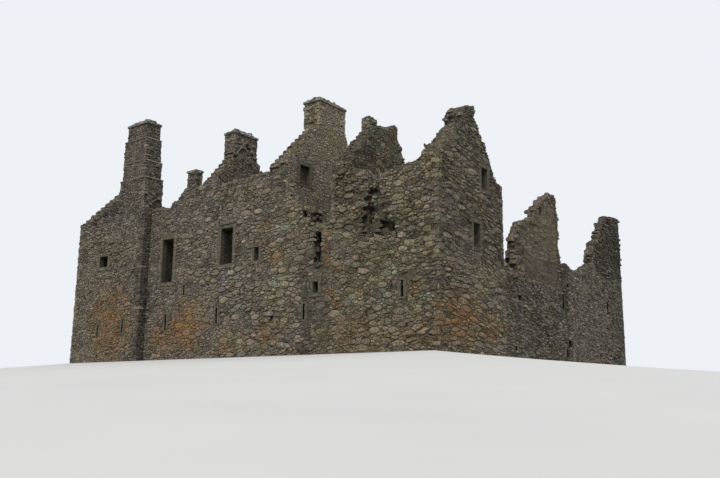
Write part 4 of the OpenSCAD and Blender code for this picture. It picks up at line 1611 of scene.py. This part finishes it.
@dataclass
class DressedWork:
    """Dressed blocks round windows and slits, dark linings that paint the shade inside openings and hollows, and the
    marks of two fallen roofs.
    """

    survey: WallSurvey
    mason: Mason
    piles: dict[Look, Pile]
    random: np.random.Generator = field(default_factory=lambda: np.random.default_rng(21))
    openings: tuple[Opening, ...] = tuple(Opening(*row) for row in WINDOWS) + tuple(
        Opening(1, level, along, sill, 0.13, height, jamb, 0.12, 0.026, 0.27, False)
        for level, along, sill, height, jamb in SLITS)
    hollows: tuple[Opening, ...] = tuple(Opening(0, 0.0, *row[:4], reveal=row[4]) for row in HOLLOWS)

    # Tint of a stone with nothing of its own, depth of the blocks, and how far sill and head cover the jambs' ends
    EVEN = (0.5, 0.5, 0.5, 0.0)
    DEEP = 0.2
    LIP = 0.006
    # Height of the sill, and how far from the opening the small rubble beside the blocks reaches
    SILL = 0.09
    BED = 0.215

    def _block(self, look: Look, face: WallFace, quad: np.ndarray, depth: float, rise: float,
               tint: tuple[float, ...] = EVEN, uneven: tuple[float, ...] = (0.0, 0.0, 0.0)) -> None:
        """Lays one block square to a face.

        Args:
            look: The pile it goes to.
            face: The face.
            quad: Its corners on the face.
            depth: How far in it starts.
            rise: How long it is from there.
            tint: Its tint.
            uneven: Its wobble, slant and roughness.
        """
        stone = Stone(face.place(quad, -depth), face.out, rise, 0.0, tint, *uneven)
        self.piles[look].add(self.mason.block, stone)

    def _strip(self, look: Look, face: WallFace, low: Point, high: Point, depth: float, lip: float) -> None:
        """Lays one thin lining stone square to a face.

        Args:
            look: The pile it goes to.
            face: The face.
            low: Its lowest corner on the face.
            high: Its highest corner.
            depth: How far in it reaches.
            lip: How far it stands out of the face.
        """
        quad = np.array([low, (high[0], low[1]), high, (low[0], high[1])])
        self._block(look, face, quad, depth, depth + lip)

    def _score(self, face: WallFace) -> None:
        """Lays the thin mortar fillets that two fallen roofs left on the lime-faced wall, in the dark finish of the
        reveal linings.

        Args:
            face: The wall's face.
        """
        for ends in FILLETS:
            start, end = (np.array(point) + (CORNER[1], 0.0) for point in ends)
            along = (end - start) / np.linalg.norm(end - start)
            half = 0.017 * np.array([-along[1], along[0]])
            quad = np.array([start - half, end - half, end + half, start + half])
            self._block(Look.REVEAL, face, quad, 0.02, 0.035, uneven=(0.01, 0.0, 0.1))

    def dress(self) -> None:
        """Sets the blocks and linings and keeps the rubble off them."""
        lime = self.survey.limed()
        self._score(lime)
        # the socket: a near-black plate on the wall paints the shadow inside the hole
        low, high = ((along + CORNER[1], up) for along, up in PAINTED_SOCKET_SHADOW)
        self._strip(Look.DAMP, lime, low, high, 0.02, 0.004)
        lime.keep_off(low, high)
        for opening in self.openings:
            face, start = self._find(opening)
            self._ring(face, opening, start)
            self._line(Look.DAMP if opening.narrow() else Look.REVEAL, face, opening, start)
        for hollow in self.hollows:
            face, start = self._find(hollow)
            self._line(Look.DAMP, face, hollow, start)
            end, top = start + hollow.width, hollow.sill + hollow.height
            # beside a narrow hollow a near-black strip paints the jamb's shadow; a wide hollow gets a near-black
            # plate at its back as painted shade
            if hollow.narrow():
                self._strip(Look.DAMP, face, (end + 0.002, hollow.sill), (end + 0.1, top), 0.02, 0.014)
                face.keep_off((start - 0.06, hollow.sill), (end + 0.1, top))
            else:
                self._strip(Look.DAMP, face, (start + 0.02, hollow.sill + 0.01), (end - 0.02, top - 0.02),
                            hollow.reveal, 0.03 - hollow.reveal)

    def _find(self, opening: Opening) -> tuple[WallFace, float]:
        """Finds an opening's face.

        Args:
            opening: The opening.

        Returns:
            The face, and the opening's left side on it.
        """
        sign = 1 if opening.axis == 0 else -1
        face = self.survey.face(opening.axis, sign, opening.level + CORNER[opening.axis])
        return face, opening.along + CORNER[1 - opening.axis]

    def _line(self, look: Look, face: WallFace, opening: Opening, start: float) -> None:
        """Lines an opening's two sides and its head with thin dark stones that paint the shade inside it.

        Args:
            look: The pile of lining stones.
            face: The face it is in.
            opening: The opening.
            start: Its left side along the face.
        """
        low, high = opening.sill + 0.007, opening.sill + opening.height - 0.007
        end = start + opening.width
        for left, right, foot in ((start + 0.004, start + 0.014, low), (end - 0.014, end - 0.004, low),
                                  (start + 0.015, end - 0.015, high - 0.01)):
            self._strip(look, face, (left, foot), (right, high), opening.reveal, 0.004)

    def _jamb(self, opening: Opening, inner: float, side: int) -> tuple[list, list]:
        """Stacks the blocks of one jamb, long and short in turn.

        Args:
            opening: The opening.
            inner: The jamb's edge along the face.
            side: -1 for the left jamb, 1 for the right.

        Returns:
            The blocks and the strips beside them, as both ends along the face, foot and head.
        """
        blocks, strips = [], []
        head = opening.sill + opening.height
        low, wide = opening.sill + self.LIP, bool(self.random.integers(2))
        while head - low > 0.05:
            tall = float(self.random.uniform(0.22, 0.5))
            if head - low - tall < 0.16:
                tall = head - self.LIP - low
            reach = opening.jamb * (1.45 if wide else 0.9) + float(self.random.uniform(0.0, 0.03))
            near, far, edge = inner - side * self.LIP, inner + side * reach, inner + side * self.BED
            blocks.append((min(near, far), max(near, far), low, low + tall))
            if reach < self.BED - 0.03:
                strips.append((min(far, edge), max(far, edge), low, low + tall))
            low += tall
            wide = not wide
        return blocks, strips

    def _ring(self, face: WallFace, opening: Opening, start: float) -> None:
        """Sets the blocks of one opening.

        Args:
            face: The face it is in.
            opening: The opening.
            start: Its left side along the face.
        """
        left, right, jamb = start, start + opening.width, opening.jamb
        foot, head = opening.sill, opening.sill + opening.height
        crown = head + opening.lintel
        blocks = [(left - jamb, right + jamb, foot - self.SILL, foot + self.LIP),
                  (left - jamb, right + jamb, head - self.LIP, crown)]
        strips = [(u0, u1, v0, v1) for v0, v1 in ((foot - self.SILL, foot), (head, crown))
                  for u0, u1 in ((left - self.BED, left - jamb), (right + jamb, right + self.BED))]
        strips.append((left - self.BED, right + self.BED, foot - self.BED, foot - self.SILL))
        if opening.lintel < self.BED - 0.04:
            strips.append((left - self.BED, right + self.BED, crown, head + self.BED))
        for inner, side in ((left, -1), (right, 1)):
            for row, more in zip((blocks, strips), self._jamb(opening, inner, side)):
                row.extend(more)
        for u0, u1, v0, v1 in blocks:
            quad = np.array([[u0, v0], [u1, v0], [u1, v1], [u0, v1]])
            middle = quad.mean(0)
            quad = middle + (quad - middle) * (1 - 0.004 / (np.array([u1 - u0, v1 - v0]) / 2))
            proud = opening.proud + float(self.random.uniform(-0.003, 0.006))
            tint = (float(self.random.uniform(0.5, 1.0)), float(self.random.uniform(0.35, 0.65)), 0.5, 0.0)
            self._block(Look.DRESSED, face, quad, self.DEEP, proud + self.DEEP, tint, (0.012, 0.01, 0.01))
            face.keep_off((u0, v0), (u1, v1))
        if opening.bedded:
            for span in strips:
                self._fill(face, span)

    def _fill(self, face: WallFace, span: tuple[float, float, float, float]) -> None:
        """Lays small rubble over a strip beside the dressed blocks.

        Args:
            face: The face.
            span: The strip: both its ends along the face, its foot and its head.
        """
        u0, u1, v0, v1 = span
        face.keep_off((u0, v0), (u1, v1))
        across = u1 - u0 > v1 - v0
        at, end = (u0, u1) if across else (v0, v1)
        while end - at > 0.02:
            long = float(self.random.uniform(0.1, 0.26))
            if end - at - long < 0.09:
                long = end - at
            box = [(at, v0), (at + long, v0), (at + long, v1), (at, v1)] if across else [
                (u0, at), (u1, at), (u1, at + long), (u0, at + long)]
            points = np.array(corners_of(box, 6))
            middle = points.mean(0)
            points = middle + (points - middle) * self.random.uniform(0.86, 1.0, (6, 1))
            corners = face.place(points, -0.01)
            tint = self.mason.weather.tint(corners.mean(0), self.random)
            rise = float(self.random.uniform(0.042, 0.06))
            self.mason.laid.append((self.mason.plain, Stone(corners, face.out, rise, 0.01, tint, 0.03, 0.5, 0.2)))
            at += long


@dataclass
class Assembly:
    """One part of the keep: its ground plan in coordinates from the near corner."""

    name: str
    low: Point
    high: Point

    def owns(self, point: np.ndarray) -> bool:
        """Tells whether a point stands on this part's plan."""
        local = point[:2] - np.array(CORNER)[:2]
        return bool((local >= self.low).all() and (local < self.high).all())

    def build(self, laid: list[tuple[StoneShape, Stone]], shelf: Shelf, seed: int) -> list:
        """Builds the part's stones.

        Args:
            laid: All stones that aren't built yet.
            shelf: The materials.
            seed: Seed of the stones' irregularity.

        Returns:
            The stones that belong to other parts.
        """
        pile, rest = Pile(seed), []
        for shape, stone in laid:
            if self.owns(stone.corners.mean(0) - stone.out * 0.05):
                pile.add(shape, stone)
            else:
                rest.append((shape, stone))
        pile.build(f"{self.name}_rubble", shelf.take(Look.RUBBLE), "rubble_stone")
        return rest


@dataclass
class Keep:
    """The whole building."""

    shelf: Shelf = field(default_factory=Shelf)
    assemblies: tuple[Assembly, ...] = (
        Assembly("left_bay", (-27.0, -1.0), (-19.0, 4.2)),
        Assembly("hall_west", (-27.0, -1.0), (-16.0, 4.0)),
        Assembly("hall_west_back", (-27.0, 3.9), (-16.0, 9.0)),
        Assembly("hall_east", (-16.0, -1.0), (-9.5, 3.0)),
        Assembly("hall_east_back", (-16.0, 2.9), (-9.5, 9.0)),
        Assembly("link", (-9.5, -1.0), (-6.15, 9.0)),
        Assembly("corner_tower", (-6.15, -1.0), (1.0, 6.0)),
        Assembly("right_range", (-7.0, 6.0), (1.0, 13.6)),
        Assembly("old_tower", (-1.4, 13.5), (1.0, 24.0)),
        Assembly("old_tower_back", (-9.0, 13.5), (-1.4, 24.0)),
        Assembly("loose", (-40.0, -10.0), (10.0, 40.0)),
    )
    outer: Coursing = Coursing()
    side: Coursing = Coursing(((0.13, 0.18, 4.0), (0.085, 0.12, 10.0), (0.055, 0.075, 60.0), (0.034, 0.042, 55.0)),
                              2.6, rise=0.036)
    far: Coursing = Coursing(((0.09, 0.12, 9.0), (0.055, 0.078, 80.0), (0.034, 0.045, 50.0)), 2.2, rise=0.042,
                             rise_spread=0.028)
    flat: Coursing = Coursing(((0.08, 0.11, 12.0), (0.055, 0.075, 60.0)), 3.4, 0.004, 0.009, 0.006, gap=0.01)
    back: Coursing = Coursing(((0.16, 0.22, 10.0), (0.11, 0.15, 26.0)))
    harled: Coursing = Coursing(((0.09, 0.12, 10.0), (0.05, 0.075, 80.0), (0.034, 0.042, 50.0)), 1.7, 0.004, 0.012,
                                0.008, gap=0.018)
    inner: Coursing = Coursing(((0.2, 0.28, 4.0), (0.14, 0.19, 24.0), (0.05, 0.075, 80.0)), 1.4, 0.008,
                               fine_above=7.4)
    top: Coursing = Coursing(((0.17, 0.22, 2.0), (0.11, 0.15, 20.0), (0.08, 0.1, 20.0)), 1.1, 0.006, 0.06, 0.045)
    stacks: tuple[str, ...] = ("tall_stack", "cross_stack", "end_stack", "small_stack", "end_gable")
    caps: tuple[str, ...] = ("tall_stack_cap", "cross_stack_cap", "end_stack_cap", "small_stack_cap")
    # Parts of the right side, as place along it and height: smooth plaster, flat beds, and the side of the old tower
    smooth: tuple[tuple[float, ...], ...] = ((8.9, 4.1, 13.1, 5.55),)
    lime: tuple[tuple[float, ...], ...] = ((8.9, 5.55, 13.1, 6.9), (9.4, 6.9, 12.9, 7.3), (10.6, 7.3, 13.0, 8.4),
                                           (11.3, 8.4, 12.9, 9.0))
    range_side: tuple[tuple[float, ...], ...] = ((6.1, 0.0, 24.0, 12.0),)
    # Piles of dressed work and of the dark linings that paint the shade inside openings, with their seeds and names
    linings: tuple[tuple[Look, int, str], ...] = (
        (Look.DRESSED, 5, "dressed_blocks"), (Look.DAMP, 6, "painted_shadow_linings"), (Look.REVEAL, 8, "painted_shade_reveal_linings"))
    # Least area of a face that gets rubble, and area up to which a face may belong to a stack, in square metres
    least: float = 0.05
    small: float = 100.0

    def coat(self) -> None:
        """Gives every node of the frame its finish."""
        looks = {"rubble_stone": Look.CORE, "dressed_stone": Look.DRESSED, "slab_stone": Look.LEDGE,
                 "vault_stone": Look.VAULT, "lime_plaster": Look.PLASTER}
        for row in frame["record"]["subparts"]:
            node = frame["nodes"][row["node"]]
            node.data.materials.clear()
            node.data.materials.append(self.shelf.take(looks[row["material_slot"]]))

    def build(self) -> None:
        """Lays and builds everything."""
        self.coat()
        survey = WallSurvey()
        mason = Mason(survey, Weather())
        piles = {look: Pile(seed) for look, seed, _ in self.linings}
        DressedWork(survey, mason, piles).dress()
        for look, _, name in self.linings:
            piles[look].build(name, self.shelf.take(look), "dressed_stone")
        mason.lay_corners()
        LOG.info("%d corner stones", len(mason.laid))
        self._lay(survey, mason)
        slabs = Pile(7)
        for cap in self.caps:
            mason.lay_slabs(cap)
        for shape, stone in mason.slabs:
            slabs.add(shape, stone)
        slabs.build("cap_slabs", self.shelf.take(Look.SLAB), "slab_stone")
        laid = mason.laid
        LOG.info("%d stones", len(laid))
        for number, part in enumerate(self.assemblies):
            laid = part.build(laid, self.shelf, 30 + number)

    def _lay(self, survey: WallSurvey, mason: Mason) -> None:
        """Lays the rubble over every face that shows, and the stones of the broken tops.

        Args:
            survey: The walls.
            mason: The mason.
        """
        limed = survey.limed()
        beds, _, side = (face.part(tuple((CORNER[1] + u0, v0, CORNER[1] + u1, v1) for u0, v0, u1, v1 in spans))
                         for face, spans in ((limed, self.lime), (limed, self.smooth),
                                             (survey.face(0, 1, CORNER[0]), self.range_side)))
        for number, face in enumerate(survey.faces):
            if face.area() > self.least:
                mason.lay_face(face, self._way(survey, face), number + 100)
        for number, (face, way) in enumerate(((beds, self.flat), (side, self.far),
                                              (self._round_corner(), self.harled))):
            mason.lay_face(face, way, number + 400)
        mason.lay_tops(0.23, 9)

    @staticmethod
    def _round_corner() -> RoundFace:
        """Unrolls the old tower's rounded corner.

        Returns:
            Its face.
        """
        radius = 0.8
        _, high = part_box("old_tower_corner")
        return RoundFace((high[0] - radius, high[1] - radius), radius, 9.7)

    def _way(self, survey: WallSurvey, face: WallFace) -> Coursing:
        """Picks how a face's rubble is laid.

        Args:
            survey: The walls.
            face: The face.

        Returns:
            Small and flat on the stacks, loose on the tops, plain inside, rough outside.
        """
        if face.axis == 2:
            return self.top
        spots = np.argwhere(face.mask)
        middle = face.place((face.low + (spots[len(spots) // 2] + 0.5) * PITCH)[None])[0]
        for name in self.stacks if face.area() < self.small else ():
            low, high = (np.array(c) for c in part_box(name))
            if (middle > low - 0.02).all() and (middle < high + 0.02).all():
                return self.harled
        if self._inner(survey, face):
            return self.inner
        return self.back if min(face.out[0], -face.out[1]) < 0 else self.side if face.out[0] > 0 else self.outer

    @staticmethod
    def _inner(survey: WallSurvey, face: WallFace) -> bool:
        """Tells whether a face looks into the keep.

        Args:
            survey: The walls.
            face: The face.

        Returns:
            True where most of it looks at another wall.
        """
        spots = np.argwhere(face.mask)
        picked = spots[:: max(1, len(spots) // 12)]
        hits = 0
        for spot in picked:
            point = face.place((face.low + (spot + 0.5) * PITCH)[None], 0.05)[0]
            hits += survey.distance(point, face.out, 11.0) < 10.9
        return hits > 0.6 * len(picked)


@dataclass
class Stage:
    """The pale ground, the light and the camera."""

    eye: tuple[float, float, float] = (17.76, -28.80, -2.05)
    turn: float = 37.5
    tilt: float = 11.5
    roll: float = 0.5
    focal: float = 790.0
    frame_width: float = 720.0
    # Slope at which the ground starts to fall away, and how deep it falls
    fall: float = 0.11
    depth: float = 4.3
    # Share of the ground's grid that lies under the keep, and how far the rest reaches beyond it
    near: float = 0.4
    reach: float = 260.0
    bounce: tuple[int, int, int] = (126, 126, 116)
    pale: tuple = ((184, 184, 182), (194, 194, 191))
    sky: tuple[int, int, int] = (238, 241, 246)
    horizon: float = 0.62
    zenith: float = 1.0

    def ground(self) -> None:
        """Makes a pale mound that is level under the keep and falls away round it."""
        low, high = (np.array(corner)[:2] for corner in CAD_BOX)
        middle, half = (low + high) / 2, (high - low) / 2
        mesh = bmesh.new()
        bmesh.ops.create_grid(mesh, x_segments=60, y_segments=60, size=1.0)
        for vert in mesh.verts:
            place = []
            for share, wide in ((vert.co.x, half[0]), (vert.co.y, half[1])):
                size = abs(share)
                far = size / self.near * wide if size < self.near else (
                    wide + self.reach * ((size - self.near) / (1 - self.near)) ** 2.6)
                place.append(math.copysign(far, share))
            beyond = math.hypot(max(0.0, abs(place[0]) - half[0]), max(0.0, abs(place[1]) - half[1]))
            drop = self.depth * (1.0 - math.exp(-beyond * self.fall / self.depth))
            vert.co = (middle[0] + place[0], middle[1] + place[1], -0.002 - drop)
        for polygon in mesh.faces:
            polygon.smooth = True
        data = bpy.data.meshes.new("ground")
        mesh.to_mesh(data)
        mesh.free()
        ground = bpy.data.objects.new("ground", data)
        bpy.context.scene.collection.objects.link(ground)
        kit = NodeKit(bpy.data.materials.new("pale_ground"))
        tone = kit.ramp(kit.noise(0.35, 3.0), self.pale)
        tone = kit.mix(linear(*self.bounce), tone, kit.add("LightPath").outputs["Is Camera Ray"])
        ground.data.materials.append(kit.finish(tone, 0.9, kit.noise(8.0), 0.05, 0.01))

    def light(self) -> None:
        """Sets the sky's even light and one broad, soft lamp."""
        kit = NodeKit(bpy.data.worlds.new("sky"))
        bpy.context.scene.world = kit.owner
        up = kit.add("SeparateXYZ", {0: kit.add("TexCoord").outputs["Generated"]}).outputs["Z"]
        climb = kit.add("MapRange", {"Value": up, "From Min": 0.0, "From Max": 1.0, "To Min": self.horizon,
                                     "To Max": self.zenith}).outputs["Result"]
        lit = kit.add("Background", {"Color": (0.93, 0.96, 1.0, 1.0), "Strength": climb}).outputs[0]
        seen = kit.add("Background", {"Color": linear(*self.sky), "Strength": 1.0}).outputs[0]
        path = kit.add("LightPath").outputs
        shown = kit.math("MAXIMUM", path["Is Camera Ray"], path["Is Glossy Ray"])
        kit.add("OutputWorld", {"Surface": kit.add("MixShader", {0: shown, 1: lit, 2: seen}).outputs[0]})
        lamp = bpy.data.lights.new("soft_sky", "SUN")
        lamp.energy = 2.2
        lamp.angle = math.radians(24)
        lamp.color = (1.0, 0.98, 0.95)
        holder = bpy.data.objects.new("soft_sky", lamp)
        holder.rotation_euler = Vector((-0.27, 0.6, -0.85)).to_track_quat("-Z", "Y").to_euler()
        bpy.context.scene.collection.objects.link(holder)

    def camera(self) -> None:
        """Sets the camera where the photograph was taken."""
        turn, tilt, roll = (math.radians(v) for v in (self.turn, self.tilt, self.roll))
        right = Vector((math.cos(turn), math.sin(turn), 0.0))
        ahead = Vector((-math.sin(turn) * math.cos(tilt), math.cos(turn) * math.cos(tilt), math.sin(tilt)))
        upward = right.cross(ahead)
        rolled_right = math.cos(roll) * right + math.sin(roll) * upward
        rolled_up = -math.sin(roll) * right + math.cos(roll) * upward
        data = bpy.data.cameras.new("view")
        data.sensor_width = 36.0
        data.lens = data.sensor_width * self.focal / self.frame_width
        data.clip_start, data.clip_end = 0.1, 1000.0
        camera = bpy.data.objects.new("view", data)
        turned = Matrix((rolled_right, rolled_up, -ahead)).transposed().to_4x4()
        camera.matrix_world = Matrix.Translation(CORNER + Vector(self.eye)) @ turned
        bpy.context.scene.collection.objects.link(camera)
        bpy.context.scene.camera = camera

    def build(self) -> None:
        """Sets up the stage."""
        self.camera()
        self.ground()
        self.light()
        bpy.context.scene.view_settings.view_transform = "Standard"


def main() -> None:
    """Builds the keep and its stage."""
    logging.basicConfig(level=logging.INFO, format="%(message)s")
    Stage().build()
    Keep().build()


if __name__ == "__main__":
    main()
